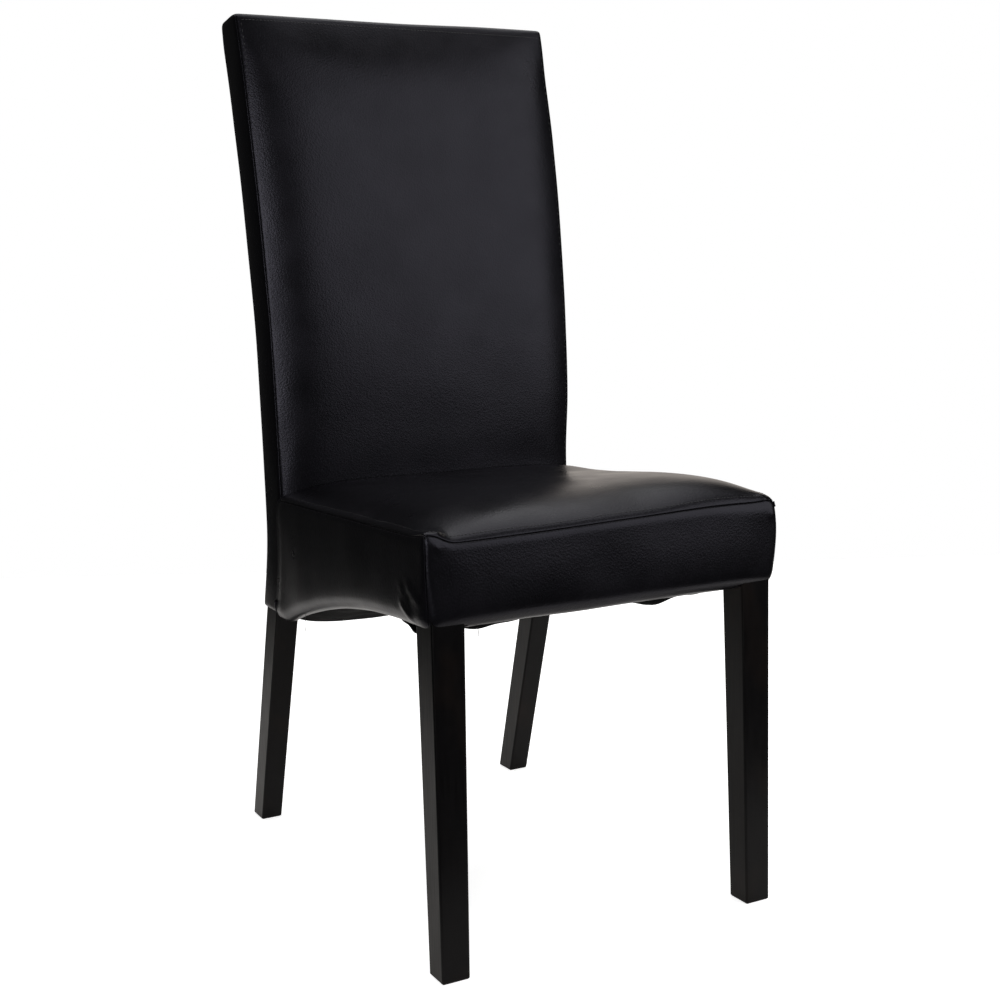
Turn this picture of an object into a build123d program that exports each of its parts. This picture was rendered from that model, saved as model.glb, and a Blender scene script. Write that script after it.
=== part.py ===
from build123d import *
import math
import os

# Upholstered parsons chair: a tenoned hardwood frame, woven webbing, foam, and a sewn cover.
# Millimetres. X is the chair's width, Y runs from its front to its back, Z is up.
# The origin is on the floor, in the middle of the chair's footprint.

# ---------------------------------------------------------------- overall sizes
overall_height = 1040.0
overall_depth = 600.0           # to the edge of the rear feet, before it is eased
seat_front_width = 430.0
seat_rear_width = 419.0
back_width = 416.0
seat_depth = 432.0              # front of the seat to the front seam of the back
seam_front_height = 461.0       # seam round the seat's top panel, at the front
seam_rear_height = 451.0
seat_crown = 29.0               # rise of the seat's top above its front seam
back_crown = 13.0               # how far the back's front panel stands out from its seams
seat_edge = 60.0                # width of the rounding along the seams of the seat's top
back_edge = 34.0                # width of the rounding along the seams of the back's front
edge_share = 0.8                # part of a crown's rise that its rounding makes up

# ---------------------------------------------------------------- cover and padding
cover = 1.2                     # coated fabric
soft_gap = 0.3                  # air between a cover and what it lies on
seam_gap = 0.1                  # between the edges of two panels at a seam
front_padding = 1.6             # wadding between the cover and the front rail
back_padding = 2.6              # wadding between the cover and the card behind the back
turn_under = 24.0               # width of the cover's hems below the rails
hem_end = 1.0                   # from a leg to the end of a hem
tail_margin = 7.0               # from a post, or from the rear of a rail, to a panel's tail

# ---------------------------------------------------------------- front legs
front_leg_top = 37.5            # square
front_leg_foot = 32.0           # square
front_leg_inset = 6.0           # from the side of the seat to the leg's outer face
edge_radius = 2.5               # eased edges of all four legs
foot_chamfer = 1.5              # round the foot of each leg

# ---------------------------------------------------------------- rear posts
post_depth = 36.0
post_width = 30.0
post_foot_depth = 33.0
post_foot_width = 28.0
post_inset = 3.0                # from the side of the back to the post's outer face
knee_height = 365.5             # where the line of the rear legs meets the line of the back
knee_bend = 303.0               # radius of the back's front at the knee of the posts
back_bend = 1850.0              # radius of the back's front above the seat
bend_start = 545.0              # height where that bend starts

# ---------------------------------------------------------------- seat frame
rail_top = 440.0
front_rail_bottom = 376.0
rear_low = 307.0                # lowest wood between the rear legs
front_rail_thickness = 22.0
side_rail_thickness = 20.0
rear_rail_thickness = 18.0
rear_rail_height = 80.0
arch_radius = 1075.0            # underside of the side rails
tack_rail_height = 32.0
block_width = 28.0              # corner blocks, measured along a rail
block_flat = 18.0               # level wing at each end of a block, for a screw
block_height = 46.0
block_drop = 9.0                # from the top of the rails to the top of a block
block_clearance = 1.0

# ---------------------------------------------------------------- back frame
foam_depth = 15.0               # front seam of the back to the face of the posts
top_rail_height = 46.0
middle_rail_height = 45.0
middle_rail_low = 690.0
bottom_rail_height = 46.0
bottom_rail_low = 458.0
back_rail_thickness = 20.0
card_thickness = 2.4
top_clearance = 3.0             # from the top of the chair to the wood

# ---------------------------------------------------------------- tenons
tenon_length = 14.0
tenon_thickness = 9.0
tenon_shoulder = 8.0            # from the top and the bottom of a rail to its tenon
mortise_fit = 0.1               # on each side of a tenon
mortise_well = 1.5              # room for glue at the end of a tenon

# ---------------------------------------------------------------- webbing, screws, staples
strap_width = 50.0
strap_thickness = 1.4
strap_count = 4
strap_play = 0.1                # air on each side where two straps cross
strap_meeting = 0.3             # height above the rails at which two straps meet
strap_flat = 2.0                # level run of a strap past each side of a crossing
strap_landing = 22.0            # length of a strap that lies on a rail
strap_inset = 1.0               # from the outer face of a rail to a strap's end
strap_margin = 12.0             # from the legs, or from the back, to the first strap
back_strap_count = 5
back_strap_pitch = 92.0
screw_radius = 2.0
screw_head_radius = 4.0
screw_head_height = 2.5
screw_length = 24.0
screw_fit = 0.15
screw_seat = 10.0               # thickness of a block's wings, under the screws' heads
screw_offset = 9.0              # up or down from the middle of a block, so that two screws miss
staple_crown = 12.0
staple_wire = 0.7
staple_width = 1.3              # of its flat wire
staple_pitch = 62.0
staple_inset = 6.0              # from the edge of the dust cover to a staple
dust_cloth = 0.6
cloth_inset = 8.0               # from the outer faces of the wood to the edge of the dust cover
cloth_gap = 2.5                 # from a leg to the dust cover
over_cut = 5.0                  # how far a cutting shape runs past what it cuts

# ---------------------------------------------------------------- worked-out places
seat_front = -overall_depth / 2
back_front = seat_front + seat_depth
back_rear = foam_depth + post_depth + card_thickness + back_padding + cover + 2 * soft_gap
seat_half_front = seat_front_width / 2
seat_half_rear = seat_rear_width / 2
back_half = back_width / 2
leg_front = seat_front + cover + front_padding + soft_gap / 2
leg_outer = seat_half_front - front_leg_inset
leg_inner = leg_outer - front_leg_top
leg_rear = leg_front + front_leg_top
post_outer = back_half - post_inset
post_inner = post_outer - post_width
post_front = foam_depth
post_rear = foam_depth + post_depth
wood_top = overall_height - top_clearance
cover_top = overall_height - cover
reach = overall_depth / 2 - back_front - post_front
tilt = math.acos(post_foot_depth / math.hypot(reach, knee_height)) - math.atan2(knee_height, reach)
rake = math.degrees(tilt)
slope = math.tan(tilt)
lean = math.cos(tilt)
foot_rear = overall_depth / 2
foot_front = foot_rear - post_foot_depth / lean
knee_top = knee_height + (knee_bend - post_front) * math.tan(tilt / 2)
rear_rail_rear = back_front + post_rear
rear_rail_front = rear_rail_rear - rear_rail_thickness
arch_run = math.sqrt(arch_radius**2 - (arch_radius - (front_rail_bottom - rear_low)) ** 2)
hem_drop = soft_gap + cover
cloth_drop = hem_drop + soft_gap / 3 + dust_cloth
rail_toe = (post_outer - leg_outer) / (back_front + post_front - leg_rear)
foam_low = rail_top + strap_thickness + staple_wire + soft_gap
tail_half = post_inner - tail_margin
bend_sweep = math.degrees(math.asin((overall_height - bend_start) / (back_bend - back_rear))) + 1

SIDES = ((-1, "left"), (1, "right"))

# Each rail between the posts: its front and rear depth, its lower and its upper height.
slim_front = post_rear - back_rail_thickness
slim_rear = post_front + back_rail_thickness
top_rail_low = wood_top - top_rail_height
back_rails = {
    "rear_tack_rail": (slim_front, post_rear, rear_low, rear_low + tack_rail_height),
    "back_bottom_rail": (post_front, slim_rear, bottom_rail_low, bottom_rail_low + bottom_rail_height),
    "back_middle_rail": (slim_front, post_rear, middle_rail_low, middle_rail_low + middle_rail_height),
    "back_top_rail": (post_front, post_rear, top_rail_low, wood_top),
}

os.makedirs("parts", exist_ok=True)


def save(piece, name):
    """Label a finished piece and write it to its own file."""
    piece.part.label = name
    export_step(piece.part, f"parts/{name}.step")
    print(f"{name:28s} {len(piece.part.solids())} solid(s)")


# ================================================================ shared outlines
def depth_line(depth):
    """Draw the back's side view at one depth behind its front seam, from the floor to the top."""
    knee_radius = knee_bend - depth
    knee_centre = (back_front + knee_bend, knee_top)
    knee_low = (knee_centre[0] - knee_radius * lean, knee_top - knee_radius * lean * slope)
    floor_end = (knee_low[0] + (knee_low[1] + over_cut) * slope, -over_cut)
    top_centre = (back_front + back_bend, bend_start)
    top_angle = math.radians(180 - bend_sweep)
    top_end = (
        top_centre[0] + (back_bend - depth) * math.cos(top_angle),
        top_centre[1] + (back_bend - depth) * math.sin(top_angle),
    )
    Line(floor_end, knee_low)
    CenterArc(knee_centre, knee_radius, 180, rake)
    Line((back_front + depth, knee_top), (back_front + depth, bend_start))
    CenterArc(top_centre, back_bend - depth, 180 - bend_sweep, bend_sweep)
    return floor_end, top_end


def back_layer(front, rear, low, high, at=0.0):
    """Side-view face of the back between two depths and two heights, on the plane X = at."""
    with BuildSketch(Plane.YZ.offset(at)) as layer:
        with BuildLine():
            front_ends = depth_line(front)
            rear_ends = depth_line(rear)
            Line(front_ends[0], rear_ends[0])
            Line(front_ends[1], rear_ends[1])
        make_face()
        with Locations((back_front, (low + high) / 2)):
            Rectangle(2 * overall_depth, high - low, mode=Mode.INTERSECT)
    return layer.sketch


def depth_at(depth, height):
    """Y of a depth of the back, at a height above the knee."""
    rise = max(height - bend_start, 0)
    return back_front + back_bend - math.sqrt((back_bend - depth) ** 2 - rise**2)


def leg_line_at(height):
    """Y of the front face of a rear leg, below the knee."""
    return foot_front - height * slope


def rail_outer(y):
    """Outer face of the side rails: they run in from the front legs to the rear posts."""
    return leg_outer + (y - leg_rear) * rail_toe


def cover_outer(y):
    """Outer face of the seat's side panels."""
    return seat_half_front + (y - seat_front) / seat_depth * (seat_half_rear - seat_half_front)


def arch_line(drop, start, end):
    """Draw the underside of the side rails, moved down by drop, from start to end along Y."""
    level = front_rail_bottom - drop
    Line((start, level), (leg_rear, level))
    turn = math.degrees(math.asin(arch_run / arch_radius))
    CenterArc((leg_rear, level - arch_radius), arch_radius, 90, -turn)
    Line((leg_rear + arch_run, rear_low - drop), (end, rear_low - drop))


def seam_at(y):
    """Height of the seam round the top of the seat."""
    return seam_front_height + (y - seat_front) / seat_depth * (seam_rear_height - seam_front_height)


def crown_line(near, far, level, rise, edge):
    """Draw a padded panel's section: a nearly flat middle arc with a rounding to the seam at each end."""
    shoulder = level + edge_share * rise
    middle = ThreePointArc((near + edge, shoulder), ((near + far) / 2, level + rise), (far - edge, shoulder))
    TangentArc(middle @ 1, (far, level), tangent=middle % 1)
    TangentArc(middle @ 0, (near, level), tangent=-(middle % 0))


def back_front_face(grow, rear, level):
    """Plan of the back's padded front, moved forward by grow and closed at a depth of rear."""
    with BuildSketch(Plane.XY.offset(level)) as face:
        with BuildLine():
            crown_line(-back_half - grow, back_half + grow, back_front, -back_crown - grow, back_edge)
            Line((-back_half - grow, back_front), (back_half + grow, back_front))
        make_face()
        if rear > 0:
            with Locations((0, back_front + rear / 2)):
                Rectangle(2 * (back_half + grow), rear)
    return face.sketch


def tail_face(near, far, rear, level):
    """Plan of a panel's tail, between two moves of the back's front, narrow enough to pass the posts."""
    with BuildSketch(Plane.XY.offset(level)) as tail:
        add(back_front_face(far, rear, 0))
        if near < far:
            add(back_front_face(near, rear + cover, 0), mode=Mode.SUBTRACT)
        with Locations((0, back_front)):
            Rectangle(2 * tail_half, overall_depth, mode=Mode.INTERSECT)
    return tail.sketch


def back_front_form(grow, rear, low, high):
    """Closed block of the back's padded front, straight and then bent back, cut level at its top."""
    axle = Axis((0, back_front + back_bend, bend_start), (-1, 0, 0))
    with BuildPart() as form:
        extrude(back_front_face(grow, rear, low), amount=bend_start - low)
        revolve(back_front_face(grow, rear, bend_start), axis=axle, revolution_arc=bend_sweep)
        split(bisect_by=Plane.XY.offset(high), keep=Keep.BOTTOM)
    return form.part


def seat_plan(grow, level):
    """Plan of the seat, its front and sides moved out by grow."""
    rear = back_front - soft_gap
    with BuildSketch(Plane.XY.offset(level)) as plan:
        with BuildLine():
            Polyline(
                (-seat_half_front - grow, seat_front - grow),
                (seat_half_front + grow, seat_front - grow),
                (seat_half_rear + grow, rear),
                (-seat_half_rear - grow, rear),
                close=True,
            )
        make_face()
    return plan.sketch


def seat_form(grow, low):
    """Closed, crowned block of the seat, with its outside moved out by grow."""
    crest = seam_front_height + grow
    base = low - over_cut
    half = seat_half_front + grow
    front = seat_front - grow
    rear = back_front + back_crown
    with BuildPart() as form:
        extrude(seat_plan(grow, low), amount=seam_front_height + 2 * seat_crown - low)
        with BuildSketch(Plane.XZ):
            with BuildLine():
                crown_line(-half, half, crest, seat_crown, seat_edge)
                Polyline((-half, crest), (-half, base), (half, base), (half, crest))
            make_face()
        extrude(amount=overall_depth, both=True, mode=Mode.INTERSECT)
        with BuildSketch(Plane.YZ):
            with BuildLine():
                crown_line(front, rear, crest, seat_crown, seat_edge)
                Polyline((front, crest), (front, base), (rear, base), (rear, crest))
            make_face()
        extrude(amount=seat_front_width, both=True, mode=Mode.INTERSECT)
        extrude(
            back_front_face(soft_gap - grow, 2 * foam_depth, base),
            amount=bend_start - base,
            mode=Mode.SUBTRACT,
        )
    return form.part


# ================================================================ tenons and screws
def tenon_planes():
    """Each tenon of the seat frame: its rail, and its shoulder, facing the way the tenon goes."""
    level = (rail_top + front_rail_bottom) / 2
    front_y = leg_front + front_rail_thickness / 2
    rear_y = rear_rail_rear - rear_rail_thickness / 2
    planes = []
    for side, word in SIDES:
        leg_x = side * (rail_outer(leg_rear) - side_rail_thickness / 2)
        post_x = side * (post_outer - side_rail_thickness / 2)
        shoulders = (
            ("front", (side * leg_inner, front_y, level), (side, 0, 0)),
            ("rear", (side * post_inner, rear_y, level), (side, 0, 0)),
            (word, (leg_x, leg_rear, level), (0, -1, 0)),
            (word, (post_x, back_front + post_front, level), (0, 1, 0)),
        )
        for rail, origin, out in shoulders:
            planes.append((rail, Plane(origin=origin, x_dir=(0, 0, 1), z_dir=out)))
    return planes


def tenons(rail):
    """Add a seat rail's tenons to the piece being made."""
    height = rail_top - front_rail_bottom - 2 * tenon_shoulder
    with Locations(*[plane for name, plane in tenon_planes() if name == rail]):
        Box(height, tenon_thickness, tenon_length, align=(Align.CENTER, Align.CENTER, Align.MIN))


def mortises():
    """Cut the mortises of the seat rails that fall in the piece being made."""
    height = rail_top - front_rail_bottom - 2 * tenon_shoulder + 2 * mortise_fit
    width = tenon_thickness + 2 * mortise_fit
    with Locations(*[plane for _, plane in tenon_planes()]):
        Box(
            height,
            width,
            tenon_length + mortise_well,
            align=(Align.CENTER, Align.CENTER, Align.MIN),
            mode=Mode.SUBTRACT,
        )


def back_rail_tenon(rail, fit):
    """Side-view face of a back rail's tenon, with a fit added on each side."""
    front, rear, low, high = rail
    near = (front + rear - tenon_thickness) / 2 - fit
    far = (front + rear + tenon_thickness) / 2 + fit
    return back_layer(near, far, low + tenon_shoulder - fit, high - tenon_shoulder + fit)


def block_corners():
    """Inside corner of the rails at each corner block, its directions along them, and its clear run."""
    front_y = leg_front + front_rail_thickness
    rear_y = rear_rail_front
    corners = []
    for side, side_word in SIDES:
        front_x = rail_outer(front_y) - side_rail_thickness
        rear_x = rail_outer(rear_y) - side_rail_thickness
        front_run = front_x - leg_inner + leg_rear - front_y + block_clearance
        rear_run = rear_x - post_inner + rear_y - back_front - post_front + block_clearance
        corners.append((f"front_{side_word}", side, front_y, 1, front_run))
        corners.append((f"rear_{side_word}", side, rear_y, -1, rear_run))
    return corners


def screw_planes():
    """Seat of each screw's head, facing away from the rail that it goes into."""
    level = rail_top - block_drop - block_height / 2
    planes = []
    for _, side, corner_y, inward, run in block_corners():
        along = run + block_width - block_flat / 2
        side_y = corner_y + inward * along
        side_x = rail_outer(side_y) - side_rail_thickness
        cross_x = rail_outer(corner_y) - side_rail_thickness - along
        cross_head = (side * cross_x, corner_y + inward * screw_seat, level + screw_offset)
        side_head = (side * (side_x - screw_seat), side_y, level - screw_offset)
        planes.append(Plane(origin=cross_head, z_dir=(0, inward, 0)))
        planes.append(Plane(origin=side_head, z_dir=(-side, rail_toe, 0)))
    return planes


def clear_screws():
    """Bore the screw holes that fall in the piece being made."""
    reach = screw_length + screw_fit
    with Locations(*[plane.offset(-reach / 2) for plane in screw_planes()]):
        Cylinder(screw_radius + screw_fit, reach, mode=Mode.SUBTRACT)


def corner_screws():
    """Hexagon-headed screws with plain shanks."""
    with BuildPart() as screw:
        with BuildSketch():
            RegularPolygon(screw_head_radius, 6)
        extrude(amount=screw_head_height)
        Cylinder(screw_radius, screw_length, align=(Align.CENTER, Align.CENTER, Align.MAX))
    with BuildPart() as group:
        with Locations(*screw_planes()):
            add(screw.part)
    return group


# ================================================================ wooden frame
def taper(low, high, level):
    """Draw a leg's outline in one view: the two sides of its foot, and of its top."""
    Polyline((low[0], 0), (low[1], 0), (high[1], level), (high[0], level), close=True)


def eased_leg(foot, top, level):
    """Tapered leg from a foot rectangle to a top rectangle: each is (x low, x high, y low, y high)."""
    with BuildPart() as leg:
        with BuildSketch(Plane.XZ):
            with BuildLine():
                taper(foot[:2], top[:2], level)
            make_face()
        extrude(amount=overall_depth, both=True)
        with BuildSketch(Plane.YZ):
            with BuildLine():
                taper(foot[2:], top[2:], level)
            make_face()
        extrude(amount=overall_depth, both=True, mode=Mode.INTERSECT)
        ends = leg.faces().sort_by(Axis.Z)
        fillet(leg.edges() - ends[0].edges() - ends[-1].edges(), edge_radius)
        chamfer(leg.faces().sort_by(Axis.Z)[0].edges(), foot_chamfer)
    return leg.part


def spread(side, near, far):
    """Low and high X of a span from near to far, on one side of the chair."""
    return (near, far) if side > 0 else (-far, -near)


def front_leg(side):
    foot = (*spread(side, leg_outer - front_leg_foot, leg_outer), leg_front, leg_front + front_leg_foot)
    top = (*spread(side, leg_inner, leg_outer), leg_front, leg_rear)
    with BuildPart() as leg:
        add(eased_leg(foot, top, front_rail_bottom))
        with BuildSketch(Plane.XY.offset(front_rail_bottom)):
            with Locations((side * (leg_inner + leg_outer) / 2, (leg_front + leg_rear) / 2)):
                Rectangle(front_leg_top, front_leg_top)
        extrude(amount=rail_top - front_rail_bottom)
        mortises()
    return leg


def rear_post(side):
    """Rear leg and back upright in one: a raked, tapered leg, a knee, and a bent upright."""
    join_front = leg_line_at(rear_low)
    foot = (*spread(side, post_outer - post_foot_width, post_outer), foot_front, foot_rear)
    top = (*spread(side, post_inner, post_outer), join_front, join_front + post_depth / lean)
    with BuildPart() as post:
        add(eased_leg(foot, top, rear_low))
        start = spread(side, post_inner, post_outer)[0]
        extrude(back_layer(post_front, post_rear, rear_low, wood_top, at=start), amount=post_width)
        mortises()
        for rail in back_rails.values():
            reach = post_inner + tenon_length + mortise_well
            extrude(back_rail_tenon(rail, mortise_fit), amount=reach, both=True, mode=Mode.SUBTRACT)
    return post


def front_rail():
    with BuildPart() as rail:
        with BuildSketch(Plane.XY.offset(front_rail_bottom)):
            with Locations((0, leg_front + front_rail_thickness / 2)):
                Rectangle(2 * leg_inner, front_rail_thickness)
        extrude(amount=rail_top - front_rail_bottom)
        tenons("front")
        clear_screws()
    return rail


def rear_rail():
    with BuildPart() as rail:
        with BuildSketch(Plane.XY.offset(rail_top - rear_rail_height)):
            with Locations((0, (rear_rail_front + rear_rail_rear) / 2)):
                Rectangle(2 * post_inner, rear_rail_thickness)
        extrude(amount=rear_rail_height)
        tenons("rear")
        clear_screws()
    return rail


def side_rail(side, word):
    """Side rail with an arched underside, its rear end shaped to the knee of the post."""
    start = leg_rear - over_cut
    rear = back_front + post_rear
    with BuildPart() as rail:
        with BuildSketch(Plane.YZ):
            with BuildLine():
                arch_line(0, start, rear)
                Polyline((start, front_rail_bottom), (start, rail_top), (rear, rail_top), (rear, rear_low))
            make_face()
        extrude(amount=seat_front_width, both=True)
        with BuildSketch(Plane.XY):
            with BuildLine():
                Polyline(
                    (side * rail_outer(leg_rear), leg_rear),
                    (side * rail_outer(rear), rear),
                    (side * (rail_outer(rear) - side_rail_thickness), rear),
                    (side * (rail_outer(leg_rear) - side_rail_thickness), leg_rear),
                    close=True,
                )
            make_face()
        extrude(amount=2 * rail_top, both=True, mode=Mode.INTERSECT)
        extrude(
            back_layer(post_front, 2 * post_rear, 0, 2 * rail_top),
            amount=seat_front_width,
            both=True,
            mode=Mode.SUBTRACT,
        )
        tenons(word)
        clear_screws()
    return rail


def corner_block(side, corner_y, inward, run):
    """Glue block across an inside corner, clear of the leg, with a level wing along each rail."""
    far = run + block_width
    near = far - block_flat

    def rail_point(along_x, along_y):
        y = corner_y + inward * along_y
        return (side * (rail_outer(y) - side_rail_thickness - along_x), y)

    with BuildPart() as block:
        with BuildSketch(Plane.XY.offset(rail_top - block_drop - block_height)):
            with BuildLine():
                Polyline(
                    rail_point(run, 0),
                    rail_point(far, 0),
                    rail_point(far, screw_seat),
                    rail_point(near, screw_seat),
                    rail_point(screw_seat, near),
                    rail_point(screw_seat, far),
                    rail_point(0, far),
                    rail_point(0, run),
                    close=True,
                )
            make_face()
        extrude(amount=block_height)
        clear_screws()
    return block


def cross_rail(rail):
    """Rail between the posts, cut to the bend of the back."""
    with BuildPart() as piece:
        extrude(back_layer(*rail), amount=post_inner, both=True)
        extrude(back_rail_tenon(rail, 0), amount=post_inner + tenon_length, both=True)
    return piece


# ================================================================ webbing and staples
def strap_outline(start, end, crossings, first_over):
    """Side view of a woven strap: flat on both rails, over and under at its crossings."""
    half = strap_width / 2 + strap_flat
    lower = [(start, rail_top), (start + strap_landing, rail_top)]
    over = first_over
    for middle in crossings:
        rise = strap_play if over else -strap_play - strap_thickness
        level = rail_top + strap_meeting + rise
        lower += [(middle - half, level), (middle + half, level)]
        over = not over
    lower += [(end - strap_landing, rail_top), (end, rail_top)]
    upper = [(run, height + strap_thickness) for run, height in reversed(lower)]
    return lower + upper


def long_strap_places():
    pitch = 2 * (leg_inner - strap_margin - strap_width / 2) / (strap_count - 1)
    return [(i - (strap_count - 1) / 2) * pitch for i in range(strap_count)]


def cross_strap_places():
    first = leg_rear + 2 * strap_margin + strap_width / 2
    last = back_front - strap_margin - strap_width / 2
    return [first + i * (last - first) / (strap_count - 1) for i in range(strap_count)]


def seat_straps_long():
    start = leg_front + strap_inset
    end = rear_rail_rear - strap_inset
    with BuildPart() as straps:
        for i, x in enumerate(long_strap_places()):
            with BuildSketch(Plane.YZ.offset(x)):
                with BuildLine():
                    Polyline(*strap_outline(start, end, cross_strap_places(), i % 2 == 0), close=True)
                make_face()
            extrude(amount=strap_width / 2, both=True)
    return straps


def seat_straps_cross():
    with BuildPart() as straps:
        for j, y in enumerate(cross_strap_places()):
            reach = rail_outer(y + strap_width / 2) - strap_inset
            with BuildSketch(Plane.XZ.offset(-y)):
                with BuildLine():
                    Polyline(*strap_outline(-reach, reach, long_strap_places(), j % 2 == 1), close=True)
                make_face()
            extrude(amount=strap_width / 2, both=True)
    return straps


def back_strap_levels():
    middle = (bottom_rail_low + bottom_rail_height + wood_top - top_rail_height) / 2
    first = middle - (back_strap_count - 1) / 2 * back_strap_pitch - strap_width / 2
    return [first + i * back_strap_pitch for i in range(back_strap_count)]


def back_straps():
    with BuildPart() as straps:
        for low in back_strap_levels():
            face = back_layer(post_front - strap_thickness, post_front, low, low + strap_width)
            extrude(face, amount=post_outer - strap_inset, both=True)
    return straps


def staple_bar(along_x, along_y):
    Box(along_x, along_y, staple_wire, align=(Align.CENTER, Align.CENTER, Align.MIN))


def webbing_staples():
    """Two staples across each end of each seat strap; the bars show, their legs are in the wood."""
    level = rail_top + strap_thickness
    landing = strap_inset + strap_landing / 2
    with BuildPart() as staples:
        for x in long_strap_places():
            for y in (leg_front + landing, rear_rail_rear - landing):
                for shift in (-strap_width / 4, strap_width / 4):
                    with Locations((x + shift, y, level)):
                        staple_bar(staple_crown, staple_width)
        for y in cross_strap_places():
            for side, _ in SIDES:
                x = side * (rail_outer(y + strap_width / 2) - landing)
                for shift in (-strap_width / 4, strap_width / 4):
                    with Locations((x, y + shift, level)):
                        staple_bar(staple_width, staple_crown)
    return staples


# ================================================================ foam and wadding
def seat_foam():
    with BuildPart() as foam:
        add(seat_form(-cover - soft_gap, foam_low))
    return foam


def border_wadding():
    """Strip of wadding round the front and the sides of the seat frame."""
    outside = cover + soft_gap / 2
    rear = back_front + post_rear
    with BuildPart() as wadding:
        with BuildSketch(Plane.YZ):
            with BuildLine():
                arch_line(0, seat_front, rear)
                Polyline(
                    (seat_front, front_rail_bottom),
                    (seat_front, rail_top),
                    (rear, rail_top),
                    (rear, rear_low),
                )
            make_face()
        extrude(amount=seat_front_width, both=True)
        extrude(seat_plan(-outside, 0), amount=2 * rail_top, mode=Mode.INTERSECT)
        with BuildSketch(Plane.XY):
            with BuildLine():
                corner = leg_outer + soft_gap / 2
                end = post_outer + soft_gap / 2
                front = leg_front - soft_gap / 2
                Polyline(
                    (-corner, front),
                    (corner, front),
                    (corner, leg_rear),
                    (end, back_front + post_front),
                    (-end, back_front + post_front),
                    (-corner, leg_rear),
                    close=True,
                )
            make_face()
        extrude(amount=2 * rail_top, mode=Mode.SUBTRACT)
        extrude(
            back_layer(-soft_gap, back_rear, 0, 2 * rail_top),
            amount=seat_front_width,
            both=True,
            mode=Mode.SUBTRACT,
        )
    return wadding


def back_foam():
    with BuildPart() as foam:
        add(
            back_front_form(
                -cover - soft_gap,
                post_front - strap_thickness - soft_gap,
                bottom_rail_low,
                cover_top - soft_gap,
            )
        )
    return foam


def back_side_wadding(side):
    near = post_outer + soft_gap / 2
    far = back_half - cover - soft_gap / 2
    start = spread(side, near, far)[0]
    with BuildPart() as wadding:
        extrude(back_layer(post_front, post_rear, rear_low, wood_top, at=start), amount=far - near)
    return wadding


def back_card():
    with BuildPart() as card:
        face = back_layer(post_rear, post_rear + card_thickness, rear_low, wood_top)
        extrude(face, amount=post_outer, both=True)
    return card


def back_rear_wadding():
    near = post_rear + card_thickness + soft_gap / 2
    with BuildPart() as wadding:
        face = back_layer(near, near + back_padding, rear_low, wood_top)
        extrude(face, amount=post_outer, both=True)
    return wadding


# ================================================================ sewn cover
def seat_top_cover():
    """Crowned top panel, with a tail that goes down behind the foam to the rear rail."""
    low = foam_low
    base = low - over_cut
    start = seat_front - over_cut
    end = back_front + over_cut
    near = soft_gap + cover
    with BuildPart() as panel:
        add(seat_form(0, low))
        add(seat_form(-cover, base), mode=Mode.SUBTRACT)
        with BuildSketch(Plane.YZ):
            with BuildLine():
                Polyline(
                    (start, base),
                    (start, seam_at(start)),
                    (end, seam_at(end)),
                    (end, base),
                    close=True,
                )
            make_face()
        extrude(amount=seat_front_width, both=True, mode=Mode.SUBTRACT)
        extrude(tail_face(soft_gap, near, 0, low), amount=seam_rear_height + 2 * cover - low)
        extrude(tail_face(near, near, post_rear - tail_margin, low), amount=cover)
    return panel


def seat_front_border():
    """Front band of the seat, with a hem that turns under the front rail."""
    low = front_rail_bottom - hem_drop
    with BuildPart() as band:
        with BuildSketch(Plane.XY.offset(low)):
            with Locations((0, seat_front + cover / 2)):
                Rectangle(seat_front_width - 2 * (cover + seam_gap), cover)
        extrude(amount=seam_at(seat_front + cover) - low)
        with BuildSketch(Plane.XY.offset(low)):
            with Locations((0, seat_front + turn_under / 2)):
                Rectangle(2 * (leg_inner - hem_end), turn_under)
        extrude(amount=cover)
    return band


def side_strip(side, outer_inset, inner_inset, start, end):
    """Plan of a strip along the seat's side, between two insets from the cover's outer face."""
    with BuildSketch(Plane.XY) as strip:
        with BuildLine():
            Polyline(
                (side * (cover_outer(start) - outer_inset), start),
                (side * (cover_outer(end) - outer_inset), end),
                (side * (cover_outer(end) - inner_inset), end),
                (side * (cover_outer(start) - inner_inset), start),
                close=True,
            )
        make_face()
    return strip.sketch


def seat_side_border(side):
    """Side band of the seat, with a hem that follows the arch of the rail."""
    start = leg_rear - over_cut
    rear = back_front + post_rear
    with BuildPart() as band:
        with BuildSketch(Plane.YZ):
            with BuildLine():
                arch_line(hem_drop, seat_front, rear)
                Polyline(
                    (seat_front, front_rail_bottom - hem_drop), (seat_front, seam_at(seat_front)),
                    (rear, seam_at(rear)), (rear, rear_low - hem_drop)
                )
            make_face()
        extrude(amount=seat_front_width, both=True)
        extrude(side_strip(side, 0, cover, seat_front, rear), amount=2 * rail_top, mode=Mode.INTERSECT)
    with BuildPart() as hem:
        with BuildSketch(Plane.YZ):
            with BuildLine():
                arch_line(hem_drop, start, rear)
                arch_line(soft_gap, start, rear)
                Line((start, front_rail_bottom - hem_drop), (start, front_rail_bottom - soft_gap))
                Line((rear, rear_low - hem_drop), (rear, rear_low - soft_gap))
            make_face()
        extrude(amount=seat_front_width, both=True)
        hem_plan = side_strip(side, 0, turn_under, leg_rear + hem_end, leg_line_at(rear_low) - hem_end)
        extrude(hem_plan, amount=2 * rail_top, mode=Mode.INTERSECT)
    with BuildPart() as border:
        add(band.part)
        add(hem.part)
        extrude(
            back_layer(-soft_gap, back_rear, 0, 2 * rail_top),
            amount=seat_front_width,
            both=True,
            mode=Mode.SUBTRACT,
        )
    return border


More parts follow.
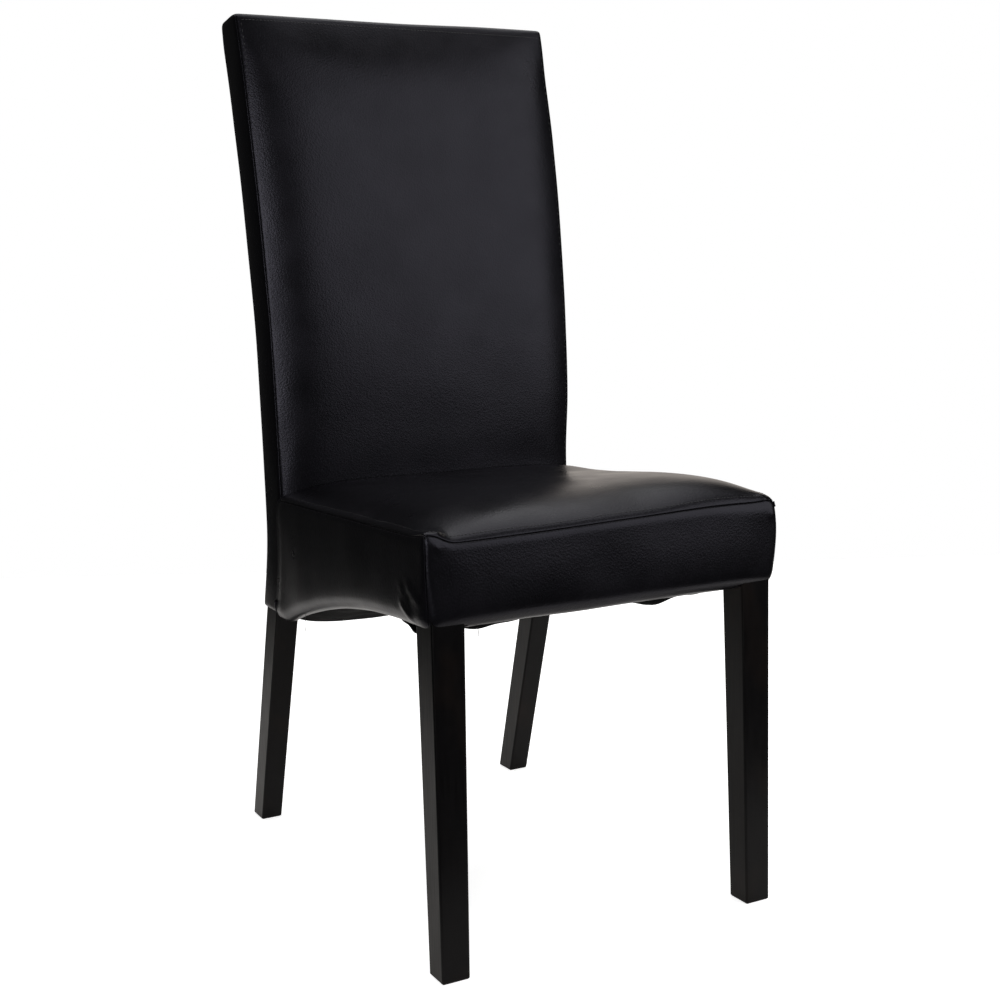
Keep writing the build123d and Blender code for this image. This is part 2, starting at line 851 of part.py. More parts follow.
def back_front_cover():
    """Front panel of the back, crowned and bent, with a tail under the bottom rail."""
    low = bottom_rail_low - hem_drop
    with BuildPart() as panel:
        add(back_front_form(0, 0, low, cover_top))
        add(back_front_form(-cover, cover, low - over_cut, cover_top + over_cut), mode=Mode.SUBTRACT)
        extrude(tail_face(0, 0, post_depth, low), amount=cover)
    return panel


def back_side_band(side):
    start = spread(side, back_half - cover, back_half)[0]
    with BuildPart() as band:
        extrude(back_layer(0, back_rear, rear_low - hem_drop, cover_top, at=start), amount=cover)
    return band


def back_rear_cover():
    """Rear panel of the back, with a hem that turns under the tack rail."""
    low = rear_low - hem_drop
    rear = leg_line_at(low) + (back_rear - post_front) / lean
    with BuildPart() as panel:
        extrude(
            back_layer(back_rear - cover, back_rear, low, cover_top),
            amount=back_half - cover,
            both=True,
        )
        with BuildSketch(Plane.XY.offset(low)):
            with Locations((0, rear - turn_under / 2 - cover)):
                Rectangle(2 * (post_inner - hem_end), turn_under)
        extrude(amount=cover)
    return panel


def back_top_band():
    """Band that closes the top of the back."""
    front = depth_at(0, cover_top)
    rear = depth_at(back_rear, cover_top)
    with BuildPart() as band:
        with BuildSketch(Plane.XY.offset(cover_top)):
            with BuildLine():
                crown_line(-back_half, back_half, front, -back_crown, back_edge)
                Polyline((-back_half, front), (-back_half, rear), (back_half, rear), (back_half, front))
            make_face()
        extrude(amount=cover)
    return band


def dust_cover():
    """Thin cloth below the seat, stapled over the hems and notched round the legs."""
    front = leg_front + cloth_inset
    rear = leg_line_at(rear_low) + (post_depth - cloth_inset) / lean
    level = front_rail_bottom - cloth_drop
    rear_level = rear_low - cloth_drop
    with BuildPart() as cloth:
        with BuildSketch(Plane.YZ):
            with BuildLine():
                arch_line(cloth_drop, front, rear)
                arch_line(cloth_drop - dust_cloth, front, rear)
                Line((front, level), (front, level + dust_cloth))
                Line((rear, rear_level), (rear, rear_level + dust_cloth))
            make_face()
        extrude(amount=post_outer - cloth_inset, both=True)
        with BuildSketch(Plane.XY):
            with Locations((0, (front + rear) / 2)):
                Rectangle(2 * (leg_inner - cloth_gap), rear - front)
            with Locations((0, (leg_rear + leg_line_at(rear_low)) / 2)):
                Rectangle(2 * post_outer, leg_line_at(rear_low) - leg_rear - 2 * cloth_gap)
        extrude(amount=2 * rail_top, mode=Mode.INTERSECT)
    return cloth


def arch_height(y):
    """Height of the side rails' underside."""
    run = min(max(y - leg_rear, 0), arch_run)
    return front_rail_bottom - arch_radius + math.sqrt(arch_radius**2 - run**2)


def dust_cover_staples():
    """Staples along all four edges of the cloth; the bars show, their legs are in the wood."""
    across = int(2 * leg_inner // staple_pitch)
    along = int((back_front - leg_rear) // staple_pitch)
    inset = cloth_inset + staple_inset
    rear = leg_line_at(rear_low) + (post_depth - inset) / lean
    side_x = post_outer - inset
    with BuildPart() as staples:
        for i in range(across):
            x = (i - (across - 1) / 2) * staple_pitch
            for y, level in ((leg_front + inset, front_rail_bottom), (rear, rear_low)):
                with Locations((x, y, level - cloth_drop - staple_wire)):
                    staple_bar(staple_crown, staple_width)
        for i in range(along):
            y = leg_rear + (i + 0.4) * staple_pitch
            fall = math.degrees(math.asin(min(max(y - leg_rear, 0), arch_run) / arch_radius))
            fall = fall if y < leg_rear + arch_run else 0
            drop = cloth_drop + staple_wire / math.cos(math.radians(fall)) + seam_gap
            for side, _ in SIDES:
                place = Plane(origin=(side * side_x, y, arch_height(y) - drop))
                with Locations(place.rotated((-fall, 0, 0))):
                    staple_bar(staple_width, staple_crown)
    return staples


# ================================================================ build and write
for side, word in SIDES:
    save(front_leg(side), f"front_leg_{word}")
    save(rear_post(side), f"rear_post_{word}")
    save(side_rail(side, word), f"seat_side_rail_{word}")
save(front_rail(), "seat_front_rail")
save(rear_rail(), "seat_rear_rail")
for corner_name, side, corner_y, inward, run in block_corners():
    save(corner_block(side, corner_y, inward, run), f"corner_block_{corner_name}")
for rail_name, rail in back_rails.items():
    save(cross_rail(rail), rail_name)
save(corner_screws(), "corner_block_screws")

save(seat_straps_long(), "seat_webbing_long")
save(seat_straps_cross(), "seat_webbing_cross")
save(webbing_staples(), "webbing_staples")
save(back_straps(), "back_webbing")

save(seat_foam(), "seat_foam")
save(border_wadding(), "seat_border_wadding")
save(back_foam(), "back_foam")
save(back_card(), "back_card")
save(back_rear_wadding(), "back_rear_wadding")
for side, word in SIDES:
    save(back_side_wadding(side), f"back_side_wadding_{word}")

save(seat_top_cover(), "seat_top_cover")
save(seat_front_border(), "seat_front_border")
save(back_front_cover(), "back_front_cover")
save(back_rear_cover(), "back_rear_cover")
save(back_top_band(), "back_top_band")
for side, word in SIDES:
    save(seat_side_border(side), f"seat_side_border_{word}")
    save(back_side_band(side), f"back_side_band_{word}")

save(dust_cover(), "dust_cover")
save(dust_cover_staples(), "dust_cover_staples")
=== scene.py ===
# %% [markdown]
# A parsons dining chair: a hardwood frame that is padded all over and dressed in a sewn cover of
# black coated fabric. The frame, the card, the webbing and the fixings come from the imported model
# and only get their finishes here. What is soft is modelled again in this file.

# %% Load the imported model
import math

import bmesh
import bpy
from mathutils import Matrix, Vector, noise
from mathutils.bvhtree import BVHTree


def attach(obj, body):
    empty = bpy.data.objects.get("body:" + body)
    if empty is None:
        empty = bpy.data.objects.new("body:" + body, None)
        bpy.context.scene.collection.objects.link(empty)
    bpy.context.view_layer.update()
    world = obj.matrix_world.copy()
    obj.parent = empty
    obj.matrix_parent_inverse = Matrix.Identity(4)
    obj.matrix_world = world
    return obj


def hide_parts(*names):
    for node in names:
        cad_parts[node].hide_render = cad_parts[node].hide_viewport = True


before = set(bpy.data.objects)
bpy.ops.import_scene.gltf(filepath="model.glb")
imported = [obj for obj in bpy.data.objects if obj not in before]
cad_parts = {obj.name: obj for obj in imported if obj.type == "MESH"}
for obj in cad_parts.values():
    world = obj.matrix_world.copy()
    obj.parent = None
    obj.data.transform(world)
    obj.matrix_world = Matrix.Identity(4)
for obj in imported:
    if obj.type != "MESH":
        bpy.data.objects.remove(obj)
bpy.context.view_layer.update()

# %% [markdown]
# The camera stands a little to the left of the chair and above its seat, and looks slightly down.
# Its place and its three turns are known, so its axes are worked out and given to it as a matrix.

# %% Camera
VIEW_YAW, VIEW_PITCH, VIEW_ROLL = (math.radians(angle) for angle in (-28.089, 8.128, -1.425))
flat = math.cos(VIEW_PITCH)
backward = Vector((math.sin(VIEW_YAW) * flat, -math.cos(VIEW_YAW) * flat, math.sin(VIEW_PITCH)))
level = (-backward).cross(Vector((0, 0, 1))).normalized()
plumb = level.cross(-backward)
across = math.cos(VIEW_ROLL) * level + math.sin(VIEW_ROLL) * plumb
upward = math.cos(VIEW_ROLL) * plumb - math.sin(VIEW_ROLL) * level
turned = Matrix((across, upward, backward)).transposed().to_4x4()

bpy.ops.object.camera_add(location=(-0.8198, -1.5915, 0.7034))
camera = bpy.context.object
camera.matrix_world = Matrix.Translation(camera.location) @ turned
camera.data.lens = 53.49
camera.data.sensor_width = 36
camera.data.dof.use_dof = False
bpy.context.scene.camera = camera
bpy.context.scene.view_settings.view_transform = "Standard"
print("camera with a lens of", round(camera.data.lens, 2), "mm")

# %% [markdown]
# Materials are built from a few shader nodes each. One function adds a node, sets it up and links
# it. Another turns a colour picked on a screen into the linear value that the shader wants, and a
# third turns the real size of a pattern into the scale of a texture.

# %% Shader helpers
def linear(code):
    """Linear colour of an sRGB hex code."""
    shares = [int(code[i:i + 2], 16) / 255 for i in (1, 3, 5)]
    return [v / 12.92 if v <= 0.04045 else ((v + 0.055) / 1.055) ** 2.4 for v in shares] + [1.0]


def add_node(tree, kind, inputs=None, **settings):
    """Add a node. Each input is a value or another node's output."""
    made = tree.nodes.new(kind)
    for name, value in settings.items():
        setattr(made, name, value)
    for socket, value in (inputs or {}).items():
        if isinstance(value, bpy.types.NodeSocket):
            tree.links.new(value, made.inputs[socket])
        else:
            made.inputs[socket].default_value = value
    return made


def new_material(name, **sockets):
    """Material with one Principled shader whose sockets are set; spaces in their names are underscores."""
    material = bpy.data.materials.new(name)
    material.use_nodes = True
    shader = material.node_tree.nodes["Principled BSDF"]
    for socket, value in sockets.items():
        shader.inputs[socket.replace("_", " ")].default_value = value
    return material, material.node_tree, shader


def feed(tree, shader, **outputs):
    """Link outputs to the shader's sockets and report; spaces in their names are underscores."""
    for socket, output in outputs.items():
        tree.links.new(output, shader.inputs[socket.replace("_", " ")])
    print("finish of", len(tree.nodes), "nodes feeds", ", ".join(outputs))


def per_metre(*millimetres):
    """Texture scale of a pattern of one size, or of three sizes along the axes."""
    scales = [1000 / size for size in millimetres]
    return scales[0] if len(scales) == 1 else scales

# %% [markdown]
# The cover is polyurethane on a knitted backing, embossed with a fine hide grain and left with a
# satin topcoat. The eye gets a near-black with a cool cast, a soft broad sheen that breaks up where
# the hand has polished it, and a pebble that shows close to. The real grain is about 1 mm, and it is
# drawn at 2.2 mm so that it can be seen from where the camera stands. The fabric lies in faint
# wrinkles of about 20 mm under the grain, so one relief is laid over another.

# %% Coated fabric
cover_pu, tree, shader = new_material("black_pu_coated_fabric", IOR=1.46, Specular_IOR_Level=0.22,
                                      Specular_Tint=(0.84, 0.82, 1.0, 1.0))
where = add_node(tree, "ShaderNodeTexCoord").outputs["Object"]
cells = add_node(tree, "ShaderNodeTexVoronoi", {"Vector": where, "Scale": per_metre(2.2)})
cloud = add_node(tree, "ShaderNodeTexNoise", {"Vector": where, "Scale": per_metre(55), "Detail": 5.0})
wrinkle = add_node(tree, "ShaderNodeTexNoise", {"Vector": where, "Scale": 46.0, "Detail": 3.0})
black = add_node(tree, "ShaderNodeMix", {"Factor": cloud.outputs["Fac"], "A": linear("#070708"),
                                         "B": linear("#0d0c0f")}, data_type="RGBA")
sheen = add_node(tree, "ShaderNodeMapRange", {"Value": cloud.outputs["Fac"], "From Min": 0.3, "From Max": 0.7,
                                              "To Min": 0.27, "To Max": 0.36})
creased = add_node(tree, "ShaderNodeBump", {"Height": wrinkle.outputs["Fac"], "Distance": 0.0012,
                                            "Strength": 0.13})
pebbled = add_node(tree, "ShaderNodeBump", {"Height": cells.outputs["Distance"], "Distance": 0.00022,
                                            "Strength": 0.5, "Normal": creased.outputs["Normal"]})
feed(tree, shader, Base_Color=black.outputs["Result"], Roughness=sheen.outputs["Result"],
     Normal=pebbled.outputs["Normal"])

# %% [markdown]
# The legs are solid wood under a sprayed black lacquer of a satin gloss. The lacquer sinks a little
# into the pores, so long thin streaks run up the leg, and here and there a warm brown comes through.

# %% Satin lacquer
lacquer, tree, shader = new_material("satin_black_lacquer_on_wood", IOR=1.5, Specular_IOR_Level=0.11)
where = add_node(tree, "ShaderNodeTexCoord").outputs["Object"]
along_pores = add_node(tree, "ShaderNodeMapping", {"Vector": where, "Scale": per_metre(1.6, 1.6, 45)})
along_leg = add_node(tree, "ShaderNodeMapping", {"Vector": where, "Scale": (14, 14, 9)})
pores = add_node(tree, "ShaderNodeTexNoise", {"Vector": along_pores.outputs["Vector"], "Scale": 1.0,
                                              "Detail": 4.0})
wear = add_node(tree, "ShaderNodeTexNoise", {"Vector": along_leg.outputs["Vector"], "Scale": 1.0,
                                             "Detail": 3.0})
worn = add_node(tree, "ShaderNodeMapRange", {"Value": wear.outputs["Fac"], "From Min": 0.52, "From Max": 0.8})
black = add_node(tree, "ShaderNodeMix", {"Factor": worn.outputs["Result"], "A": linear("#070607"),
                                         "B": linear("#17110e")}, data_type="RGBA")
satin = add_node(tree, "ShaderNodeMapRange", {"Value": pores.outputs["Fac"], "From Min": 0.3, "From Max": 0.7,
                                              "To Min": 0.28, "To Max": 0.42})
sunk = add_node(tree, "ShaderNodeBump", {"Height": pores.outputs["Fac"], "Distance": 0.00012,
                                         "Strength": 0.6})
feed(tree, shader, Base_Color=black.outputs["Result"], Roughness=satin.outputs["Result"],
     Normal=sunk.outputs["Normal"])

# %% [markdown]
# Inside, the frame is planed beech left bare: pinkish tan, with short dark flecks along the grain.

# %% Planed beech
beech, tree, shader = new_material("planed_beech", IOR=1.5)
where = add_node(tree, "ShaderNodeTexCoord").outputs["Object"]
along_grain = add_node(tree, "ShaderNodeMapping", {"Vector": where, "Scale": (330, 90, 90)})
rings = add_node(tree, "ShaderNodeTexNoise", {"Vector": where, "Scale": 26.0, "Detail": 6.0,
                                              "Distortion": 1.2})
flecks = add_node(tree, "ShaderNodeTexVoronoi", {"Vector": along_grain.outputs["Vector"], "Scale": 1.0})
tan = add_node(tree, "ShaderNodeMix", {"Factor": rings.outputs["Fac"], "A": linear("#b8906a"),
                                       "B": linear("#d9b78d")}, data_type="RGBA")
planed = add_node(tree, "ShaderNodeMapRange", {"Value": rings.outputs["Fac"], "From Min": 0.3,
                                               "From Max": 0.7, "To Min": 0.52, "To Max": 0.68})
open_grain = add_node(tree, "ShaderNodeBump", {"Height": flecks.outputs["Distance"], "Distance": 0.0001,
                                               "Strength": 0.5})
feed(tree, shader, Base_Color=tan.outputs["Result"], Roughness=planed.outputs["Result"],
     Normal=open_grain.outputs["Normal"])

# %% [markdown]
# The screws are zinc plated and passivated, a pale steel with a breath of yellow. The staples are
# bright drawn wire, scratched along its length by the die. Both are the same recipe: a fine cloudy
# pattern changes the colour and the gloss a little from place to place.

# %% Zinc and wire
metals = {}
for name, scale, detail, dark, light, polished, dull in (
    ("zinc_plated_steel", 420.0, 3.0, "#a9a48f", "#cfccc0", 0.28, 0.45),
    ("drawn_staple_wire", 900.0, 2.0, "#8e8f92", "#b9babd", 0.22, 0.4),
):
    metals[name], tree, shader = new_material(name, Metallic=1.0)
    where = add_node(tree, "ShaderNodeTexCoord").outputs["Object"]
    bloom = add_node(tree, "ShaderNodeTexNoise", {"Vector": where, "Scale": scale, "Detail": detail})
    steel = add_node(tree, "ShaderNodeMix", {"Factor": bloom.outputs["Fac"], "A": linear(dark),
                                             "B": linear(light)}, data_type="RGBA")
    gloss = add_node(tree, "ShaderNodeMapRange", {"Value": bloom.outputs["Fac"], "From Min": 0.3,
                                                  "From Max": 0.7, "To Min": polished, "To Max": dull})
    feed(tree, shader, Base_Color=steel.outputs["Result"], Roughness=gloss.outputs["Result"])

# %% [markdown]
# The webbing is a 50 mm jute belt. Its yarns are about 1 mm apart and cross over and under, which
# two crossed sets of waves give: where both crests meet, the yarn stands up. At a scale of 1 the
# waves are a tenth of pi metres apart, so this scale draws a yarn every 0.955 mm.

# %% Jute webbing
YARN_SCALE = 3.1 / (0.003 * math.pi)
jute, tree, shader = new_material("jute_webbing", Roughness=0.88, IOR=1.45)
where = add_node(tree, "ShaderNodeTexCoord").outputs["Object"]
yarns = [
    add_node(tree, "ShaderNodeTexWave", {"Vector": where, "Scale": YARN_SCALE, "Distortion": 0.4},
             bands_direction=direction).outputs["Fac"]
    for direction in ("X", "DIAGONAL")
]
crossing = add_node(tree, "ShaderNodeMath", {0: yarns[0], 1: yarns[1]}, operation="MULTIPLY")
fibre = add_node(tree, "ShaderNodeTexNoise", {"Vector": where, "Scale": 190.0, "Detail": 4.0})
straw = add_node(tree, "ShaderNodeMix", {"Factor": fibre.outputs["Fac"], "A": linear("#7a6240"),
                                         "B": linear("#a88c60")}, data_type="RGBA")
woven = add_node(tree, "ShaderNodeBump", {"Height": crossing.outputs["Value"], "Distance": 0.0005,
                                          "Strength": 0.8})
feed(tree, shader, Base_Color=straw.outputs["Result"], Normal=woven.outputs["Normal"])

# %% [markdown]
# The card behind the back is grey-brown millboard, matted fibre with darker specks.

# %% Millboard
board, tree, shader = new_material("grey_millboard", Roughness=0.82, IOR=1.45)
where = add_node(tree, "ShaderNodeTexCoord").outputs["Object"]
pulp = add_node(tree, "ShaderNodeTexNoise", {"Vector": where, "Scale": 260.0, "Detail": 6.0})
card = add_node(tree, "ShaderNodeMix", {"Factor": pulp.outputs["Fac"], "A": linear("#6a5a48"),
                                        "B": linear("#8d7a62")}, data_type="RGBA")
matted = add_node(tree, "ShaderNodeBump", {"Height": pulp.outputs["Fac"], "Distance": 0.0002,
                                           "Strength": 0.5})
feed(tree, shader, Base_Color=card.outputs["Result"], Normal=matted.outputs["Normal"])

# %% [markdown]
# The dust cover is black spun-bond polypropylene: matt, slightly fuzzy, and pressed with a grid of
# tiny bond points, which are 0.8 mm apart and are drawn at 2 mm.

# %% Dust cloth
spunbond, tree, shader = new_material("black_spunbond_cloth", Roughness=0.92, IOR=1.45,
                                      Specular_IOR_Level=0.08)
where = add_node(tree, "ShaderNodeTexCoord").outputs["Object"]
bonds = add_node(tree, "ShaderNodeTexVoronoi", {"Vector": where, "Scale": per_metre(2)})
fluff = add_node(tree, "ShaderNodeTexNoise", {"Vector": where, "Scale": 60.0, "Detail": 5.0})
black = add_node(tree, "ShaderNodeMix", {"Factor": fluff.outputs["Fac"], "A": linear("#060606"),
                                         "B": linear("#0d0c0c")}, data_type="RGBA")
pressed = add_node(tree, "ShaderNodeBump", {"Height": bonds.outputs["Distance"], "Distance": 0.0003,
                                            "Strength": 0.6})
feed(tree, shader, Base_Color=black.outputs["Result"], Normal=pressed.outputs["Normal"])

# %% [markdown]
# The sewing thread is bonded black polyester, twisted from three strands, smoother than the cover.

# %% Thread
thread, tree, shader = new_material("black_polyester_thread", Roughness=0.5, IOR=1.5)
where = add_node(tree, "ShaderNodeTexCoord").outputs["Object"]
strands = add_node(tree, "ShaderNodeTexWave", {"Vector": where, "Scale": 520.0, "Distortion": 1.0},
                   bands_direction="DIAGONAL")
black = add_node(tree, "ShaderNodeMix", {"Factor": strands.outputs["Fac"], "A": linear("#0c0c0d"),
                                         "B": linear("#1f1e21")}, data_type="RGBA")
twisted = add_node(tree, "ShaderNodeBump", {"Height": strands.outputs["Fac"], "Distance": 0.0001,
                                            "Strength": 0.5})
feed(tree, shader, Base_Color=black.outputs["Result"], Normal=twisted.outputs["Normal"])

# %% [markdown]
# Parts of the model whose shape is already right keep their solid and only get their finish.

# %% Finish the hard parts
finishes = {
    lacquer: ("front_leg", "rear_post"),
    beech: ("seat_side_rail", "seat_front_rail", "seat_rear_rail", "rear_tack_rail", "back_bottom_rail",
            "back_middle_rail", "back_top_rail", "corner_block_front", "corner_block_rear"),
    metals["zinc_plated_steel"]: ("corner_block_screws",),
    metals["drawn_staple_wire"]: ("webbing_staples", "dust_cover_staples"),
    jute: ("seat_webbing", "back_webbing"),
    board: ("back_card",),
}
for material, starts in finishes.items():
    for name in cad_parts:
        if name.startswith(starts):
            solid = bpy.data.objects[name]
            solid.data.materials.clear()
            solid.data.materials.append(material)
            print(name, "<-", material.name)

# %% [markdown]
# The soft pieces follow the same lines as the frame under them. These are the lines, in
# millimetres: the back's side view at a depth behind its front seam, the seat's top seam, the
# outer face of its side panels, and their lower rim, which is the arch of the rails.

# %% Lines of the chair
MM = 0.001
SEAT_FRONT, BACK_FRONT = -300.0, 132.0
BACK_DEPTH = 57.8
CHAIR_TOP = 1040.0
BACK_LOW = 305.5
KNEE_TOP, KNEE_RADIUS = 411.0, 303.0
BEND_START, BEND_RADIUS = 545.0, 1850.0
RAKE = math.radians(17.94)


def fade(value, low, high):
    """Rise smoothly from 0 at low to 1 at high."""
    t = min(max((value - low) / (high - low), 0), 1)
    return t * t * (3 - 2 * t)


def back_line(depth, height):
    """Y at a depth behind the back's front seam."""
    if height > BEND_START:
        return BACK_FRONT + BEND_RADIUS - math.sqrt((BEND_RADIUS - depth) ** 2 - (height - BEND_START) ** 2)
    radius = KNEE_RADIUS - depth
    drop = max(KNEE_TOP - height, 0)
    bend = min(drop, radius * math.sin(RAKE))
    return BACK_FRONT + KNEE_RADIUS - math.sqrt(radius**2 - bend**2) + (drop - bend) * math.tan(RAKE)


def seam_at(y):
    """Height of the seam round the seat's top."""
    return 461 - 10 * (y - SEAT_FRONT) / (BACK_FRONT - SEAT_FRONT)


def seat_half(y):
    """Half of the seat's width."""
    return 215 - 5.5 * (y - SEAT_FRONT) / (BACK_FRONT - SEAT_FRONT)


def rim_at(y):
    """Height of the lower rim that the arched rails give."""
    run = min(max(y + 259.6, 0), 378.9)
    return 374.5 - 1075 + math.sqrt(1075**2 - run**2)


def crown(distance, half, power):
    """Rise of stuffing from 0 at a seam to 1 at the middle of a panel."""
    return 1 - (1 - min(max(distance, 0) / half, 1)) ** power


print("back at the top of the chair:", round(back_line(0, CHAIR_TOP), 1), "mm")

# %% [markdown]
# A sewn cover is a bag: flat panels that meet in seams, pulled over a block of foam. It starts here
# as a box of its real size. Cuts across it make rows that gather towards the edges, where the
# surface turns. Each side of the box gets a mark, a material that names the panel it becomes. The
# rows where two panels meet are kept in a vertex group, because that is where the seams go. There is
# no seam along the lower rim, where a panel just turns under.

# %% Box with marked panels
PANELS = ("front", "rear", "left", "right", "top", "under")
NORMALS = ((0, -1, 0), (0, 1, 0), (-1, 0, 0), (1, 0, 0), (0, 0, 1), (0, 0, -1))
marks = [bpy.data.materials.new(name) for name in PANELS + ("cut_away",)]


def deselect():
    bpy.ops.object.select_all(action="DESELECT")


def pick(piece):
    """Make one object the selected and the active one."""
    deselect()
    piece.select_set(True)
    bpy.context.view_layer.objects.active = piece


def edit_where(piece, kind, test, operator, **settings):
    """Run an edit operator on the edges or the faces that pass a test."""
    pick(piece)
    bpy.ops.object.mode_set(mode="EDIT")
    bpy.ops.mesh.select_mode(type=kind)
    bpy.ops.mesh.select_all(action="DESELECT")
    bpy.ops.object.mode_set(mode="OBJECT")
    for item in piece.data.edges if kind == "EDGE" else piece.data.polygons:
        item.select = test(item)
    bpy.ops.object.mode_set(mode="EDIT")
    operator(**settings)
    bpy.ops.object.mode_set(mode="OBJECT")


def cut_rows(piece, axis, cuts):
    """Divide all the edges along one axis."""
    def runs_along(edge):
        start, end = (piece.data.vertices[i].co for i in edge.vertices)
        return abs((end - start)[axis]) > 0.9 * (end - start).length

    edit_where(piece, "EDGE", runs_along, bpy.ops.mesh.subdivide, number_cuts=cuts)


def cover_box(name, low, high, cuts):
    """Box between two corners in millimetres, cut into rows, its sides marked as panels."""
    size = [(b - a) * MM for a, b in zip(low, high)]
    middle = [(a + b) / 2 * MM for a, b in zip(low, high)]
    deselect()
    bpy.ops.mesh.primitive_cube_add(size=1, location=middle, scale=size)
    piece = bpy.context.object
    piece.name = piece.data.name = name
    bpy.ops.object.transform_apply(location=True, rotation=True, scale=True)
    for axis, count in enumerate(cuts):
        cut_rows(piece, axis, count)
    for mark in marks:
        piece.data.materials.append(mark)
    for face in piece.data.polygons:
        face.material_index = max(range(len(PANELS)), key=lambda i: face.normal.dot(Vector(NORMALS[i])))
    seam = piece.vertex_groups.new(name="seam")
    for vertex in piece.data.vertices:
        x, y, z = vertex.co / MM
        sides = (min(x - low[0], high[0] - x), min(y - low[1], high[1] - y), high[2] - z)
        if sum(gap < 0.01 for gap in sides) > 1:
            seam.add([vertex.index], 1.0, "REPLACE")
    print(name, len(piece.data.polygons), "faces")
    return piece


def gather(value, low, high, power):
    """Move an even row so that rows crowd towards both ends."""
    t = min(max(2 * (value - low) / (high - low) - 1, -1), 1)
    return low + (high - low) * 0.5 * (1 + math.copysign(1 - (1 - abs(t)) ** power, t))


def eased(point, low, high, radius):
    """Round a box's edges: a point on the box moves onto a ball that rolls inside it."""
    inner = Vector([min(max(point[i], low[i] + radius), high[i] - radius) for i in range(3)])
    reach = point - inner
    return inner + reach * (radius / reach.length) if reach.length > 1e-6 else point

# %% [markdown]
# The seat's bag is shaped by moving its points. The edges are eased, the sides run in to the rear,
# and the top rises in a crown that falls towards the back, which presses into it. The lower rim
# follows the arch of the rails and hangs a little loose below them. At the rear, the sides run on
# over the bands of the back and lie flat on them.

# %% Shape the seat
SEAT_LOW = (-215.0, SEAT_FRONT, 375.0)
SEAT_HIGH = (215.0, BACK_FRONT, 461.0)
SEAM_PROUD = 2.6  # height of a sewn edge over the seam's line
CREST = 487.5  # height of the crown near the front
RIM_SLACK = 7.8  # how far the rim hangs below the rails
REAR_LAP = 9.1  # how far the sides run past the front seam of the back


def seat_rise(x, y):
    """Height of the seat's top above its seams."""
    half = seat_half(y)
    sideways = crown(half - abs(x), half, 5 if x < 0 else 8 + 2 * fade(y, 0, 110))
    forward = crown(y - SEAT_FRONT, 216, 6 + 4 * fade(x, 40, 150))
    crest = CREST + 3.5 * fade(x, -60, 120) - (12 + 5 * fade(x, 0, 120)) * fade(y, -230, 40)
    crest -= 4 * math.exp(-max(119 - y, 0) / 24)
    hollow = 6 * math.exp(-(((x - 14) / 40) ** 2) - ((y - 96) / 34) ** 2)
    rise = (crest - SEAM_PROUD - seam_at(y)) * sideways * forward - hollow
    for corner, lift in ((-1, 4.0), (1, 2.5)):
        reach = math.hypot(x - corner * 206, y - SEAT_FRONT - 9)
        rise += lift * math.exp(-((reach / 16) ** 2))
    return rise


def seam_droop(x):
    """How far the front seam hangs below its line: more where it was sewn last, at the left."""
    return 7 * (1 - fade(x, -175, 150)) * fade(x, -207, -180) - 2.5 * math.exp(-(((x + 214) / 8) ** 2))


def seat_point(start):
    """Place of a point of the seat's box, in millimetres."""
    x, y, z = start
    on_top = z > SEAT_HIGH[2] - 0.01
    under = z < SEAT_LOW[2] + 0.01
    packed = Vector((
        gather(x, SEAT_LOW[0], SEAT_HIGH[0], 1.6),
        gather(y, SEAT_LOW[1], SEAT_HIGH[1], 1.6),
        gather(z, SEAT_LOW[2], SEAT_HIGH[2], 1.5),
    ))
    radius = 7 + 9 * (1 - fade(packed.z, 385, 430)) + 4 * fade(packed.x, 120, 200) * fade(packed.z, 430, 455)
    open_rear = (SEAT_HIGH[0], SEAT_HIGH[1] + radius, SEAT_HIGH[2])
    x, y, z = eased(packed, SEAT_LOW, open_rear, radius)
    share = (y - SEAT_FRONT) / (BACK_FRONT - SEAT_FRONT)
    x *= (seat_half(y) + 1) / 215
    inset = seat_half(y) - abs(x)
    from_top = seam_at(y) + SEAM_PROUD - (SEAT_HIGH[2] - z)
    ahead = y - SEAT_FRONT
    loose = RIM_SLACK * (1 - fade(y, 126, 140)) * (1 - fade(min(inset, ahead), 16, 30))
    y_low = y + share * (back_line(0, rim_at(y)) - BACK_FRONT)
    from_rim = rim_at(y_low) - loose + (z - SEAT_LOW[2])
    t = (z - SEAT_LOW[2]) / (SEAT_HIGH[2] - SEAT_LOW[2])
    z = from_rim + (from_top - from_rim) * fade(t, 0.2, 0.8)
    z -= seam_droop(x) * math.exp(-max(ahead, 0) / 24) * fade(t, 0.5, 1)
    if on_top:
        z += seat_rise(x, y)
        y -= fade(share, 0.75, 1) * 13 * crown(205 - abs(x), 205, 8)
    elif not under:
        belly = 6.75 * t * (1 - t) ** 2  # 0 at rim and seam, 1 at a third of the height
        sideways = (2.6 if x < 0 else 6.0) * belly * fade(ahead, -12, 40) * (1 - fade(share, 0.8, 1))
        x += math.copysign(sideways * fade(inset, 3, 0), x)
        x -= math.copysign(fade(share, 0.955, 0.985), x)
        y -= 2.6 * belly * fade(share, 0.007, 0) * fade(inset, 0, 50)
    x += 3.5 * fade(x, 150, 215) * (1 - fade(y, -150, 60))
    lap = (REAR_LAP + 0.4) * fade(t, 1, 0.85) - 0.4
    y += share * (back_line(0, z) - BACK_FRONT + lap)
    return Vector((x, y, z))


seat = cover_box("seat_bag", SEAT_LOW, SEAT_HIGH, (59, 59, 13))
for vertex in seat.data.vertices:
    vertex.co = seat_point(vertex.co / MM) * MM
print("seat bag shaped, crown at", round(max(v.co.z for v in seat.data.vertices) / MM, 1), "mm")

# %% [markdown]
# The back's bag is a tall flat box. Its depth is measured behind the front seam, so one line of the
# side view bends all of it. It is a little wider at the top than at the seat, where the cover is
# pulled down and in.

